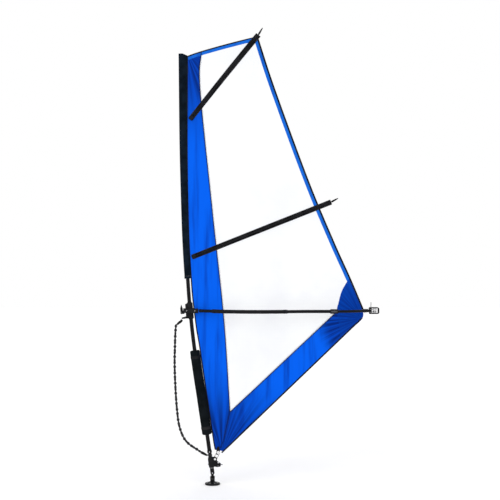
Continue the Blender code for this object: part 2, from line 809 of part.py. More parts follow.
def make_uphaul(rope, rubber, webbing, rake):
    ring(0.0195, 0.150, 0.172, EXTENSION_RADIUS + 0.0004, webbing, "uphaul_strap", parent=rake)
    grip = smooth_curve(UPHAUL_GRIP, len(UPHAUL_GRIP_RADII) - 1)
    swept("uphaul_grip", grip, circle(UPHAUL_GRIP_RADII), rubber)
    tube_cord("uphaul_line", UPHAUL_ROUTE, UPHAUL_RADIUS, rope, resample=48)
    end = Vector(UPHAUL_ROUTE[-1])
    far = Vector((-0.0500, 0.0, 0.2640))
    along = (far - end).normalized()
    points = [end + along * 0.0018, end + along * 0.018, end + along * 0.042, far]
    swept("uphaul_toggle", points, circle([0.0105, 0.0130, 0.0115, 0.0060]), rubber)


def make_clamp(black, rubber, lean):
    """The clamp round the mast: a rubber liner and a body with side trunnions and the uphaul's lug."""
    ring(0.0205, -0.077, 0.077, 0.0181, rubber, "clamp_liner", parent=lean)
    body = ring(0.0270, -0.070, 0.070, 0.0209, black, "clamp_body", parent=lean)
    outline = [(-0.018, -0.068), (-0.082, -0.068), (-0.084, -0.056)]
    outline += [(-0.042, -0.048), (-0.040, 0.062), (-0.018, 0.068)]
    lug = plate("clamp_lug", outline, -0.0120, 0.0120, black, lean)
    trunnion = pin(0.0120, -0.0335, 0.0335, black, "clamp_trunnion", parent=lean, axis="Y")
    boolean(body, trunnion, "UNION")
    boolean(body, lug, "UNION")
    bore = pin(0.0209, -0.1, 0.1, black, "clamp_bore", parent=lean)
    boolean(body, bore)


def make_boom_head(black, steel, hub):
    """The fork that wraps round the clamp from ahead, and its lever, about the trunnions' centre."""
    front, rear = -0.062, 0.076
    half = [(rear, 0.060), (0.020, 0.052), (-0.048, 0.046), (front, 0.030)]
    outer = half + [(x, -y) for x, y in reversed(half)]
    head = plate("boom_head", outer, -0.020, 0.020, black, hub, axis="Z")
    half = [(rear + 0.02, 0.036), (-0.010, 0.0345), (-0.046, 0.026)]
    inner = half + [(x, -y) for x, y in reversed(half)]
    hollow = plate("head_hollow", inner, -0.03, 0.03, black, hub, axis="Z")
    boolean(head, hollow)
    back = front + 0.010
    ears = [(back, -0.030), (front - 0.024, -0.030), (front - 0.024, -0.012), (back, 0.004)]
    for name, low, high in (("near", -0.0225, -0.0155), ("far", 0.0155, 0.0225)):
        ear = plate(f"lever_ear_{name}", ears, low, high, black, hub)
        boolean(head, ear, "UNION")
    pivot = (front - 0.016, 0, -0.0205)
    place = {"parent": hub, "location": pivot, "axis": "Y", "sides": 12}
    drill = pin(LEVER_PIN_RADIUS + GAP, -0.04, 0.04, steel, "lever_drill", **place)
    boolean(head, drill)
    pin(LEVER_PIN_RADIUS, -0.0245, 0.0245, steel, "lever_pin", **place)
    shape = [(-0.008, -0.010), (0.006, -0.012), (0.013, 0.010)]
    shape += [(0.010, 0.040), (-0.003, 0.075), (-0.012, 0.040)]
    lever = plate("clamp_lever", shape, -0.0150, 0.0150, black, hub, pivot, bevel=0.002)
    lever_drill = pin(LEVER_PIN_RADIUS + GAP, -0.04, 0.04, steel, "lever_bore", **place)
    boolean(lever, lever_drill)


def flat_route(route, side):
    return [(x, side * y, BOOM_Z) for x, y in route]


def make_arms(alloy, foam, plastic, steel, accent):
    for name, side in (("near", -1), ("far", 1)):
        up = (0, 0, 1)
        rows = smooth_curve(flat_route(ARM_ROUTE, side), ARM_ROWS)
        swept(f"boom_arm_{name}", rows, circle(ARM_RADIUS), alloy, circle(ARM_RADIUS - ARM_WALL), up)
        grip = rows[GRIP_ROWS[0] : GRIP_ROWS[1] + 1]
        swept(f"boom_grip_{name}", grip, circle(GRIP_RADIUS), foam, circle(ARM_RADIUS + 0.0005), up)
        tail = smooth_curve(flat_route(TAIL_ROUTE, side), 14)
        swept(f"tail_tube_{name}", tail, circle(TAIL_RADIUS), alloy, None, up)
        make_clip(name, side, plastic, steel, accent)


def make_clip(name, side, plastic, steel, accent):
    """The collar that locks a tail tube in its arm, with its lever on the outer side."""
    y = side * ARM_STRAIGHT_Y
    place = empty(f"clip_place_{name}", (0, y, BOOM_Z))
    step = ARM_END_X + GAP
    narrow, wide = TAIL_RADIUS + 0.0012, ARM_RADIUS + 0.0009
    profile = [(wide, CLIP_X), (CLIP_RADIUS, CLIP_X), (CLIP_RADIUS, CLIP_END_X), (narrow, CLIP_END_X)]
    profile += [(narrow, step), (wide, step)]
    collar = turned(f"boom_clip_{name}", profile, plastic, place, axis="X")
    boss_y = 0.0255
    boss = block(f"clip_boss_{name}", (0.018, 0.020, 0.026), plastic, place, (1.106, side * 0.0225, 0))
    boolean(collar, boss, "UNION")
    core = pin(narrow, 1.04, 1.14, plastic, f"clip_core_{name}", parent=place, axis="X")
    boolean(collar, core)
    slot = block(f"clip_slot_{name}", (0.030, 0.0150, 0.017), plastic, place, (1.106, side * 0.0264, 0))
    boolean(collar, slot)
    spot = (1.108, side * boss_y, 0)
    axle = {"parent": place, "location": spot, "sides": 12}
    stud = pin(0.0020, -0.0110, 0.0110, steel, f"clip_stud_{name}", **axle)
    boolean(collar, stud, "UNION")
    drill = pin(0.0024, -0.03, 0.03, steel, f"clip_drill_{name}", **axle)
    outline = [(0.0040, -0.0028), (0.0040, 0.0040), (-0.030, 0.0046)]
    outline += [(-0.052, 0.0020), (-0.052, -0.0005), (-0.030, -0.0022)]
    outline = [(x, side * v) for x, v in outline]
    lever = plate(f"clip_lever_{name}", outline, -0.0080, 0.0080, accent, place, spot, axis="Z")
    boolean(lever, drill)


def make_tail(plastic, white, steel):
    place = empty("tail_place", (0, 0, BOOM_Z))
    outline = [(1.411, -0.030), (1.411, 0.030), (1.484, 0.030), (1.494, 0.026), (1.499, 0.018)]
    outline += [(x, -z) for x, z in reversed(outline[2:])]
    head = plate("tail_head", outline, -0.0250, 0.0250, plastic, place)
    root = block("tail_root", (0.016, 0.126, 0.040), plastic, place, (1.419, 0, 0))
    boolean(head, root, "UNION")
    window = block("tail_window", (0.084, 0.046, 0.043), plastic, place, (1.448, 0, 0))
    boolean(head, window)
    side_window = block("tail_side_window", (0.056, 0.10, 0.043), plastic, place, (1.460, 0, 0))
    boolean(head, side_window)
    spot = {"parent": place, "location": (TAIL_SHEAVE_X, 0, 0), "sides": 12}
    drill = pin(TAIL_AXLE_RADIUS + GAP, -0.05, 0.05, steel, "tail_drill", **spot)
    boolean(head, drill)
    pin(TAIL_AXLE_RADIUS, -0.0295, 0.0295, steel, "outhaul_axle", **spot)
    for name, side in (("upper", 1), ("lower", -1)):
        spot = (TAIL_SHEAVE_X, 0, side * TAIL_SHEAVE_OFFSET)
        sizes = (TAIL_SHEAVE_RADIUS, TAIL_SHEAVE_HALF, TAIL_AXLE_RADIUS)
        sheave(f"outhaul_sheave_{name}", white, place, spot, *sizes, "Z")


def make_outhaul(rope, steel):
    """The clew ring, and the line that runs from one tail sheave through it to the other."""
    x, z = CLEW_RING
    profile = [(0.0095, -0.0030), (0.0155, -0.0030), (0.0155, 0.0030), (0.0095, 0.0030)]
    turned("clew_ring", profile, steel, None, (x, 0, z), axis="Y")
    r = TAIL_SHEAVE_RADIUS - 0.003 + ROPE_RADIUS + 0.0004
    up, down = BOOM_Z + TAIL_SHEAVE_OFFSET, BOOM_Z - TAIL_SHEAVE_OFFSET
    arc = [math.radians(10 + 20 * k) for k in range(5)]
    route = [(TAIL_SHEAVE_X + r * math.cos(a), r * math.sin(a), up) for a in arc]
    route += [(1.420, 0.0150, up - 0.002), (1.390, 0.0090, z + 0.006), (x - 0.003, 0.0, z)]
    route += [(1.390, -0.0090, z - 0.004), (1.420, -0.0150, down + 0.001)]
    route += [(TAIL_SHEAVE_X + r * math.cos(a), -r * math.sin(a), down) for a in reversed(arc)]
    tube_cord("outhaul_line", route, ROPE_RADIUS, rope, resample=36)


def main():
    clear_scene()
    black = material("carbon_black", (0.02, 0.02, 0.022), 0.35)
    plastic = material("moulded_black", (0.025, 0.025, 0.03), 0.5)
    sleeve = material("sleeve_black", (0.02, 0.02, 0.025), 0.8)
    blue = material("sail_blue", (0.0, 0.09, 0.75), 0.5)
    film = material("sail_film", (0.9, 0.92, 0.95), 0.2)
    foam = material("pad_foam", (0.018, 0.018, 0.02), 0.85)
    rubber = material("rubber_black", (0.02, 0.02, 0.02), 0.7)
    steel = material("stainless_steel", (0.62, 0.62, 0.64), 0.25, 1.0)
    alloy = material("anodised_black", (0.03, 0.03, 0.033), 0.35, 0.6)
    white = material("sheave_white", (0.85, 0.85, 0.86), 0.4)
    rope = material("rope_black", (0.015, 0.015, 0.018), 0.85)
    accent = material("lever_grey", (0.20, 0.20, 0.22), 0.45)
    make_mast(black, plastic)
    make_sleeve(sleeve)
    make_sail(blue, film)
    make_battens(sleeve, black)
    make_pad(foam)
    make_foot(plastic, rubber, steel)
    make_link(rubber, steel)
    rake = empty("rake_place", (0, 0, MAST_PIVOT_Z), (0, RAKE, 0))
    make_mast_yoke(rake, plastic, steel)
    make_extension(rake, alloy, plastic, steel, white, accent)
    make_tack(plastic, steel, white)
    make_downhaul(rope)
    make_uphaul(rope, rubber, sleeve, rake)
    clamp_x = mast_x(BOOM_Z)
    lean = empty("clamp_place", (clamp_x, 0, BOOM_Z), (0, CLAMP_LEAN, 0))
    make_clamp(plastic, rubber, lean)
    hub = empty("boom_hub", (clamp_x, 0, BOOM_Z))
    make_boom_head(plastic, steel, hub)
    make_arms(alloy, foam, plastic, steel, accent)
    make_tail(plastic, white, steel)
    make_outhaul(rope, steel)


main()
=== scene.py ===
"""The finished look of a windsurf rig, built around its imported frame.

Lengths are in metres. +X runs from the mast to the clew, -Y is the near side and +Z is up.
"""
import json
import math

import bmesh
import bpy
from mathutils import Euler, Matrix, Vector, noise


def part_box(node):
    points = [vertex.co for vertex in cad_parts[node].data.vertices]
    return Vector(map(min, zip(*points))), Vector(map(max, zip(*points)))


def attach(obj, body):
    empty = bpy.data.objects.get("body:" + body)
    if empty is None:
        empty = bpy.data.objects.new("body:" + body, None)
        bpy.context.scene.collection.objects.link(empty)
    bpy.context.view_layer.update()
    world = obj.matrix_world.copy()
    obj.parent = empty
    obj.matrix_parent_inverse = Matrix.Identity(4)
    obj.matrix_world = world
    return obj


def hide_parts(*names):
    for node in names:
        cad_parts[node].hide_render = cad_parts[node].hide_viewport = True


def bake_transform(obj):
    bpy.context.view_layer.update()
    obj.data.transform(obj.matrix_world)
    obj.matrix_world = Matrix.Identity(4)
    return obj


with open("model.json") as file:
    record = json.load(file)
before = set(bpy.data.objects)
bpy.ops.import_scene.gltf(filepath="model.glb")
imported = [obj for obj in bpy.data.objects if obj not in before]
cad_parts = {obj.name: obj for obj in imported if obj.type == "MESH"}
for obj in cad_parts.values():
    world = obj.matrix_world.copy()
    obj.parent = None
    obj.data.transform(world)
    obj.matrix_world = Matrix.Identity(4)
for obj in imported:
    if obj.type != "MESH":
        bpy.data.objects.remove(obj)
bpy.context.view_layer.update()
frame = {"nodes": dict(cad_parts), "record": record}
NODES = frame["nodes"]

# ---------------------------------------------------------------- driving dimensions

MAST_LINE = [
    (0.000, 0.106), (-0.054, 0.49), (-0.158, 1.19), (-0.200, 1.56), (-0.222, 1.84),
    (-0.247, 2.30), (-0.263, 3.01), (-0.270, 3.88),
]
MAST_FOOT_Z = 0.31
MAST_JOIN_Z = 2.02
MAST_HEAD_Z = 3.845
MAST_JOIN_GAP = 0.0003
MAST_WALL = 0.0028
MAST_RADII = [(0.018, MAST_FOOT_Z), (0.0165, MAST_JOIN_Z), (0.0115, MAST_HEAD_Z)]
LUFF_SETBACK = [
    (0.0510, 0.312), (0.0475, 0.450), (0.0475, 1.190), (0.0400, 1.360), (0.0340, 1.560),
    (0.0290, 1.840), (0.0300, 2.560), (0.0320, 3.010), (0.0410, 3.852),
]
SEAM_EDGE = [(0.157, 0.655), (0.101, 1.500), (0.000, 2.450), (-0.112, 3.560), (-0.100, 3.893)]
LEECH_EDGE = [
    (1.364, 1.560), (1.246, 1.840), (1.084, 2.200), (0.860, 2.740), (0.5625, 3.550),
    (0.405, 4.030),
]
PATCH_EDGE = [(1.118, 1.557), (1.134, 1.640), (1.165, 1.745), (1.2345, 1.8635)]
TACK = (0.0855, 0.2835)
CLEW = (1.350, 1.4976)
HEAD = (0.405, 4.030)
LUFF_FOOT_Z = 0.312
LUFF_HEAD_Z = 3.852
CAMBER = 0.035
CLOTH = 0.0008
CLEW_LAYERS = 0.0032
LAP = 0.012
THREAD_RADIUS = 0.00035
SEAM_LIFT = 0.0016
SEAM_TAPE = 0.0006
SEAM_STITCH = 0.0085

SLEEVE_FRONT = [(0.0280, 1.853), (0.0300, 2.560), (0.0330, 3.010), (0.0360, 3.878)]
SLEEVE_FOOT_Z = 1.853
SLEEVE_HEAD_Z = 3.878
SLEEVE_ROOM = 0.0045
SLEEVE_BACK_ROOM = 0.006

BATTENS = {
    "lower": [(-0.182, 2.046), (1.068, 2.542)],
    "upper": [(-0.197, 3.289), (0.413, 4.046)],
}
POCKET_HALF_WIDTHS = {"lower": (0.0225, 0.0240), "upper": (0.0230, 0.0255)}
POCKET_RISE = 0.0118
POCKET_RAISED_HALF = 0.0145
POCKET_HEM = 0.003

PAD_RADIUS = 0.0435
PAD_FOOT_Z = 0.452
PAD_HEAD_Z = 1.206

BOOM_Z = 1.565
ROPE_DIAMETER = 0.0044

UPHAUL_DIAMETER = 0.020
UPHAUL_ROUTE = [(x, 0.0, z) for x, z in (
    (-0.3213, 1.4357), (-0.3290, 1.4280), (-0.3350, 1.3450), (-0.3385, 1.2300),
    (-0.3410, 1.1200), (-0.3390, 1.0000), (-0.3340, 0.8800), (-0.3270, 0.7600),
    (-0.3180, 0.6600), (-0.3060, 0.5600), (-0.2850, 0.4800), (-0.2560, 0.4160),
    (-0.2180, 0.3700), (-0.1780, 0.3400), (-0.1350, 0.3130), (-0.1080, 0.2930),
)]

CAMERA_DISTANCE = 10.0
CAMERA_AIM = (0.3375, 2.11)
PICTURE_SIDE = 4.5
SENSOR = 36.0


# ---------------------------------------------------------------- curves and lookups

def smooth_curve(points, count):
    """count + 1 evenly spaced points along a Catmull-Rom curve through points."""
    pts = [Vector(p) for p in points]
    ends = [2 * pts[0] - pts[1]] + pts + [2 * pts[-1] - pts[-2]]
    fine = []
    for a, b, c, d in zip(ends, ends[1:], ends[2:], ends[3:]):
        for k in range(16):
            t = k / 16
            bend = (2 * a - 5 * b + 4 * c - d) * t**2 + (3 * b - a - 3 * c + d) * t**3
            fine.append(0.5 * (2 * b + (c - a) * t + bend))
    fine.append(pts[-1])
    lengths = [0.0]
    for a, b in zip(fine, fine[1:]):
        lengths.append(lengths[-1] + (b - a).length)
    out = []
    at = 0
    for k in range(count + 1):
        want = lengths[-1] * k / count
        while at < len(fine) - 2 and lengths[at + 1] < want:
            at += 1
        share = (want - lengths[at]) / (lengths[at + 1] - lengths[at])
        out.append(fine[at].lerp(fine[at + 1], share))
    return out


def height_lookup(points):
    """A function from z to x along a smooth line of (x, z) points."""
    fine = smooth_curve([(x, 0, z) for x, z in points], 160)

    def x_at(z):
        for a, b in zip(fine, fine[1:]):
            if z <= b.z:
                return a.x + (b.x - a.x) * (z - a.z) / (b.z - a.z)
        a, b = fine[-2], fine[-1]
        return a.x + (b.x - a.x) * (z - a.z) / (b.z - a.z)

    return x_at


mast_x = height_lookup(MAST_LINE)
luff_setback = height_lookup(LUFF_SETBACK)
sleeve_front = height_lookup(SLEEVE_FRONT)
leech_x = height_lookup(LEECH_EDGE)
seam_x = height_lookup(SEAM_EDGE)
mast_radius = height_lookup(MAST_RADII)


def luff_x(z):
    return mast_x(z) + luff_setback(z)


def foot_x(z):
    """The foot's straight edge, from the tack up to the clew."""
    return TACK[0] + (CLEW[0] - TACK[0]) * (z - TACK[1]) / (CLEW[1] - TACK[1])


def belly(x, z):
    """The sail's surface without wrinkles: how far it lies towards -Y."""
    low = luff_x(z)
    high = leech_x(z) if z > CLEW[1] else foot_x(z)
    share = min(max((x - low) / max(high - low, 0.05), 0), 1)
    return -CAMBER * 4 * share * (1 - share) * min(1.0, (high - low) / 0.8)


def fade(value, near, far):
    """1 up to near and 0 past far, smooth between."""
    t = min(max((value - near) / (far - near), 0), 1)
    return 1 - t * t * (3 - 2 * t)


def corner_creases(x, z, corner, reach, count, height):
    """Creases that fan out from a loaded corner and die away over reach."""
    dx, dz = x - corner[0], z - corner[1]
    far = math.hypot(dx, dz)
    angle = math.atan2(dz, dx)
    wander = 0.5 * noise.noise(Vector((2.0 * angle, 3.0 * far, corner[0])))
    return height * fade(far, 0.1 * reach, reach) * math.sin(count * angle + wander) * min(1, far / 0.06)


def wrinkles(x, z):
    """Small folds of a sail that is held tight at its corners and along its luff."""
    off_luff = x - luff_x(z)
    along = noise.noise(Vector((off_luff * 9, z * 1.1, 0.0)))
    pull = 0.0022 * along * fade(off_luff, 0.05, 0.45) * min(1, max(off_luff, 0) / 0.03)
    calm = 0.0016 * noise.noise(Vector((x * 2.3, z * 1.7, 4.0)))
    tack = corner_creases(x, z, TACK, 0.75, 24, 0.0020)
    clew = corner_creases(x, z, CLEW, 0.55, 22, 0.0018)
    head = corner_creases(x, z, HEAD, 0.35, 20, 0.0010)
    return pull + calm + tack + clew + head


def sail_y(x, z):
    return belly(x, z) + wrinkles(x, z)


# ---------------------------------------------------------------- mesh helpers

def placed(name, data):
    """A new object in the scene for a mesh, a camera or a light."""
    obj = bpy.data.objects.new(name, data)
    bpy.context.scene.collection.objects.link(obj)
    return obj


def mesh_from(name, bm):
    mesh = bpy.data.meshes.new(name)
    bm.to_mesh(mesh)
    bm.free()
    return mesh


def circle(count):
    """The angles of count even steps round a circle."""
    return [2 * math.pi * k / count for k in range(count)]


def mesh_object(name, verts, faces, mat, angle=40):
    """An object from vertices and faces, all faces out, smooth but for sharp edges."""
    mesh = bpy.data.meshes.new(name)
    mesh.from_pydata([tuple(v) for v in verts], [], faces)
    bm = bmesh.new()
    bm.from_mesh(mesh)
    bmesh.ops.recalc_face_normals(bm, faces=bm.faces)
    bm.to_mesh(mesh)
    bm.free()
    mesh.materials.append(mat)
    mesh.shade_smooth()
    mesh.set_sharp_from_angle(angle=math.radians(angle))
    return placed(name, mesh)


def finished(obj, body, slot, *nodes):
    """Rides obj on its body and hides the nodes that it stands for; its slot is not used."""
    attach(obj, body)
    if nodes:
        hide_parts(*nodes)
    return obj


def frames(points, across=(0, 1, 0)):
    """At each point, two unit normals of the curve: a side one and the one nearest to across."""
    out = []
    last = len(points) - 1
    for i in range(last + 1):
        along = (points[min(i + 1, last)] - points[max(i - 1, 0)]).normalized()
        side = Vector(across).cross(along).normalized()
        out.append((side, along.cross(side)))
    return out


def tube_faces(rings, sides, caps=True):
    faces = []
    for i in range(rings - 1):
        for k in range(sides):
            a = i * sides + k
            b = i * sides + (k + 1) % sides
            faces.append((a, b, b + sides, a + sides))
    if caps:
        faces.append(tuple(range(sides)))
        faces.append(tuple((rings - 1) * sides + k for k in range(sides)))
    return faces


def tube(name, points, section, mat, sides, across=(0, 1, 0), angle=40):
    """A bar along points. section(i, angle) gives distances along the side and across normals."""
    verts = []
    for i, (point, (side, over)) in enumerate(zip(points, frames(points, across))):
        for turn in circle(sides):
            u, v = section(i, turn)
            verts.append(point + side * u + over * v)
    return mesh_object(name, verts, tube_faces(len(points), sides), mat, angle)


def round_section(radii):
    if isinstance(radii, float):
        return lambda i, angle: (radii * math.cos(angle), radii * math.sin(angle))
    return lambda i, angle: (radii[i] * math.cos(angle), radii[i] * math.sin(angle))


def hollow_tube(name, points, outer, inner, mat, sides=32, across=(0, 1, 0)):
    """An open tube with a wall: outer and inner are radii, one for each point."""
    verts = []
    rows = frames(points, across)
    for radii in (outer, inner):
        for i, (point, (side, over)) in enumerate(zip(points, rows)):
            for turn in circle(sides):
                verts.append(point + radii[i] * (side * math.cos(turn) + over * math.sin(turn)))
    count = len(points)
    faces = tube_faces(count, sides, caps=False)
    shift = count * sides
    faces += [tuple(v + shift for v in reversed(f)) for f in tube_faces(count, sides, caps=False)]
    for base in (0, (count - 1) * sides):
        for k in range(sides):
            a, b = base + k, base + (k + 1) % sides
            faces.append((a, b, b + shift, a + shift))
    return mesh_object(name, verts, faces, mat)


def slab(name, rows, across, thickness, lift, mat):
    """A sheet between paired (x, z) edge points that follows the sail's surface, with its thickness."""
    verts = []
    for face in (-0.5, 0.5):
        for (ax, az), (bx, bz) in rows:
            for k in range(across + 1):
                x = ax + (bx - ax) * k / across
                z = az + (bz - az) * k / across
                verts.append((x, sail_y(x, z) + lift + face * thickness, z))
    wide = across + 1
    up = len(rows) - 1
    back = wide * (up + 1)
    faces = []
    for i in range(up):
        for k in range(across):
            a = i * wide + k
            faces.append((a, a + 1, a + 1 + wide, a + wide))
            faces.append((back + a, back + a + wide, back + a + 1 + wide, back + a + 1))
    rim = list(range(wide))
    rim += [i * wide + across for i in range(1, up + 1)]
    rim += [up * wide + k for k in range(across - 1, -1, -1)]
    rim += [i * wide for i in range(up - 1, 0, -1)]
    for a, b in zip(rim, rim[1:] + rim[:1]):
        faces.append((a, back + a, back + b, b))
    return mesh_object(name, verts, faces, mat, angle=50)


def even(low, high, count):
    """count + 1 numbers at equal steps from low to high."""
    return [low + (high - low) * k / count for k in range(count + 1)]


def height_line(x_at, low, high, count):
    """(x, z) points at even heights on the line that x_at gives."""
    return [(x_at(z), z) for z in even(low, high, count)]


def flat_line(points, count):
    """Evenly spaced (x, z) points on a smooth line."""
    return [(p.x, p.z) for p in smooth_curve([(x, 0, z) for x, z in points], count)]


def inward_normals(line, side):
    """The unit normal in the sail's plane at each point, on its left (1) or right (-1)."""
    out = []
    last = len(line) - 1
    for i in range(last + 1):
        a, b = line[max(i - 1, 0)], line[min(i + 1, last)]
        dx, dz = b[0] - a[0], b[1] - a[1]
        size = math.hypot(dx, dz)
        out.append((-dz / size * side, dx / size * side))
    return out


def strip(name, line, side, start, end, thickness, lift, mat, cells=2):
    """A tape along a line of (x, z) points, from start to end metres off it on one side."""
    rows = []
    for (x, z), (nx, nz) in zip(line, inward_normals(line, side)):
        rows.append(((x + nx * start, z + nz * start), (x + nx * end, z + nz * end)))
    return slab(name, rows, cells, thickness, lift, mat)


def joined(name, parts):
    """One object made of several meshes, with their materials kept."""
    bm = bmesh.new()
    materials = []
    for part in parts:
        at = len(bm.faces)
        bm.from_mesh(part.data)
        bm.faces.ensure_lookup_table()
        slots = []
        for mat in part.data.materials:
            if mat not in materials:
                materials.append(mat)
            slots.append(materials.index(mat))
        for face in bm.faces[at:]:
            face.material_index = slots[face.material_index]
    mesh = mesh_from(name, bm)
    for mat in materials:
        mesh.materials.append(mat)
    obj = placed(name, mesh)
    for part in parts:
        bpy.data.objects.remove(part)
    return obj


def stitching(name, line, offset, side, lift, mat, pitch=0.006, swing=0.0022):
    """A row of zigzag thread beside a line, on the near (-1) or far (1) face of the sail."""
    flat = flat_line(line, max(2, int(line_length(line) / pitch)))
    path = []
    for i, ((x, z), (nx, nz)) in enumerate(zip(flat, inward_normals(flat, 1))):
        out = offset + (swing if i % 2 else -swing)
        px, pz = x + nx * out, z + nz * out
        path.append(Vector((px, sail_y(px, pz) + side * lift, pz)))
    return tube(name, path, round_section(THREAD_RADIUS), mat, sides=4, angle=180)


def line_length(line):
    return sum(math.dist(a, b) for a, b in zip(line, line[1:]))


# ---------------------------------------------------------------- materials

class Nodes:
    """A material's node tree, with short ways to add nodes and join them."""

    def __init__(self, name):
        self.mat = bpy.data.materials.new(name)
        self.mat.use_nodes = True
        self.tree = self.mat.node_tree
        self.shader = self.tree.nodes["Principled BSDF"]
        self.coords = self.tree.nodes.new("ShaderNodeTexCoord").outputs["Object"]

    def add(self, kind, **inputs):
        node = self.tree.nodes.new("ShaderNode" + kind)
        for key, value in inputs.items():
            self.put(node.inputs[key.replace("_", " ")], value)
        return node

    def put(self, socket, value):
        if isinstance(value, bpy.types.NodeSocket):
            self.tree.links.new(value, socket)
        else:
            socket.default_value = value

    def scaled(self, scale):
        """The object's coordinates, stretched by a scale for each axis."""
        node = self.add("Mapping", Vector=self.coords)
        node.inputs["Scale"].default_value = scale
        return node.outputs["Vector"]

    def noise(self, scale, detail=3.0, stretch=(1, 1, 1)):
        node = self.add("TexNoise", Vector=self.scaled(stretch), Scale=scale, Detail=detail, Roughness=0.55)
        return node.outputs["Fac"]

    def wave(self, scale, direction, distortion=0.0, stretch=(1, 1, 1)):
        node = self.add("TexWave", Vector=self.scaled(stretch), Scale=scale, Distortion=distortion)
        node.bands_direction = direction
        return node.outputs["Fac"]

    def math(self, operation, a, b=0.0):
        node = self.tree.nodes.new("ShaderNodeMath")
        node.operation = operation
        self.put(node.inputs[0], a)
        self.put(node.inputs[1], b)
        return node.outputs[0]

    def spread(self, value, low, high, to_low=0.0, to_high=1.0, smooth=True):
        node = self.add("MapRange", Value=value)
        node.interpolation_type = "SMOOTHSTEP" if smooth else "LINEAR"
        for key, limit in (("From Min", low), ("From Max", high), ("To Min", to_low), ("To Max", to_high)):
            node.inputs[key].default_value = limit
        return node.outputs["Result"]

    def mix(self, share, low, high):
        node = self.tree.nodes.new("ShaderNodeMix")
        node.data_type = "RGBA"
        self.put(node.inputs["Factor"], share)
        for socket, value in ((node.inputs[6], low), (node.inputs[7], high)):
            self.put(socket, value if isinstance(value, bpy.types.NodeSocket) else (*value, 1))
        return node.outputs[2]

    def bump(self, height, strength, distance, normal=None):
        node = self.add("Bump", Height=height, Strength=strength, Distance=distance)
        if normal:
            self.put(node.inputs["Normal"], normal)
        self.put(self.shader.inputs["Normal"], node.outputs["Normal"])
        return node.outputs["Normal"]

    def set(self, **values):
        for key, value in values.items():
            self.put(self.shader.inputs[key.replace("_", " ")], value)
        return self.mat

    def weave(self, threads, strength, distance):
        """A plain weave: two sets of fine bands at right angles, in the X-Z plane."""
        warp = self.wave(threads, "X")
        weft = self.wave(threads, "Z")
        both = self.math("MAXIMUM", warp, weft)
        return self.bump(both, strength, distance)


def worn(shade, low, high, scale):
    """A colour that varies gently between two shades over the surface."""
    return shade.mix(shade.spread(shade.noise(scale), 0.35, 0.65), low, high)


def corner_share(shade, corner, near, far):
    """1 at a corner of the sail and 0 past far metres from it."""
    gap = shade.tree.nodes.new("ShaderNodeVectorMath")
    gap.operation = "DISTANCE"
    shade.put(gap.inputs[0], shade.coords)
    gap.inputs[1].default_value = (corner[0], 0, corner[1])
    return shade.spread(gap.outputs["Value"], near, far, 1.0, 0.0)


def corner_streaks(shade, corner, scale):
    """Noise that runs in rays out of a corner of the sail."""
    split = shade.tree.nodes.new("ShaderNodeSeparateXYZ")
    shade.put(split.inputs[0], shade.coords)
    dx = shade.math("SUBTRACT", split.outputs["X"], corner[0])
    dz = shade.math("SUBTRACT", split.outputs["Z"], corner[1])
    angle = shade.math("ARCTAN2", dz, dx)
    ray = shade.add("TexNoise", Scale=scale, Detail=4.0)
    ray.noise_dimensions = "1D"
    shade.put(ray.inputs["W"], angle)
    return shade.spread(ray.outputs["Fac"], 0.38, 0.62)


def sailcloth(name, bright, middle, dark, corners=()):
    """Coated sailcloth: long soft streaks of painted shade from folds, darker rays fanning out of the given
    corners, and a fine weave.
    """
    shade = Nodes(name)
    # painted shade: long soft streaks darken the bright tone towards the middle one, where folds would shade
    # the cloth
    fold_shade = shade.spread(shade.noise(1.4, 3.0, (9, 1, 0.7)), 0.45, 0.72)
    color = shade.mix(fold_shade, bright, middle)
    for corner, near, far, rays in corners:
        share = corner_share(shade, corner, near, far)
        ray = corner_streaks(shade, corner, rays)
        deep = shade.mix(ray, dark, middle)
        color = shade.mix(share, color, deep)
    cloudy = shade.noise(6.0, 4.0)
    shade.weave(180.0, 0.12, 0.0002)
    rough = shade.spread(cloudy, 0.3, 0.7, 0.42, 0.55, smooth=False)
    return shade.set(Base_Color=color, Roughness=rough, Specular_IOR_Level=0.03)


def blue_sail():
    return sailcloth(
        "sail_blue",
        (0.0004, 0.108, 0.78),
        (0.0004, 0.050, 0.44),
        (0.0004, 0.020, 0.19),
        [(TACK, 0.15, 0.85, 9.0), (CLEW, 0.30, 0.46, 11.0), ((-0.235, 3.90), 0.2, 0.95, 9.0)],
    )


def blue_patch():
    return sailcloth(
        "sail_blue_layers",
        (0.0005, 0.056, 0.42),
        (0.0005, 0.044, 0.35),
        (0.0006, 0.026, 0.24),
        [(CLEW, 0.10, 0.60, 11.0)],
    )


def blue_hem():
    return sailcloth("hem_blue", (0.008, 0.13, 0.62), (0.006, 0.09, 0.48), (0.004, 0.05, 0.30))


def white_sail():
    """White sailcloth with a faint grid of stronger threads and soft cloudiness."""
    shade = Nodes("sail_white")
    cloud = shade.spread(shade.noise(2.2, 4.0), 0.35, 0.7)
    color = shade.mix(cloud, (0.88, 0.89, 0.90), (0.82, 0.83, 0.86))
    across = shade.spread(shade.wave(24.0, "X"), 0.965, 0.995)
    along = shade.spread(shade.wave(24.0, "Z"), 0.965, 0.995)
    grid = shade.math("MAXIMUM", across, along)
    color = shade.mix(shade.math("MULTIPLY", grid, 0.35), color, (0.74, 0.76, 0.80))
    fine = shade.weave(180.0, 0.10, 0.0002)
    shade.bump(grid, 0.15, 0.0002, fine)
    rough = shade.spread(cloud, 0, 1, 0.42, 0.52, smooth=False)
    return shade.set(Base_Color=color, Roughness=rough, Specular_IOR_Level=0.2)


def cloth(name, low, high, threads=160.0, strength=0.45):
    """A woven fabric in two close shades."""
    shade = Nodes(name)
    color = worn(shade, low, high, 12.0)
    shade.weave(threads, strength, 0.0004)
    rough = shade.spread(shade.noise(30.0), 0.3, 0.7, 0.72, 0.9)
    return shade.set(Base_Color=color, Roughness=rough, Specular_IOR_Level=0.04)


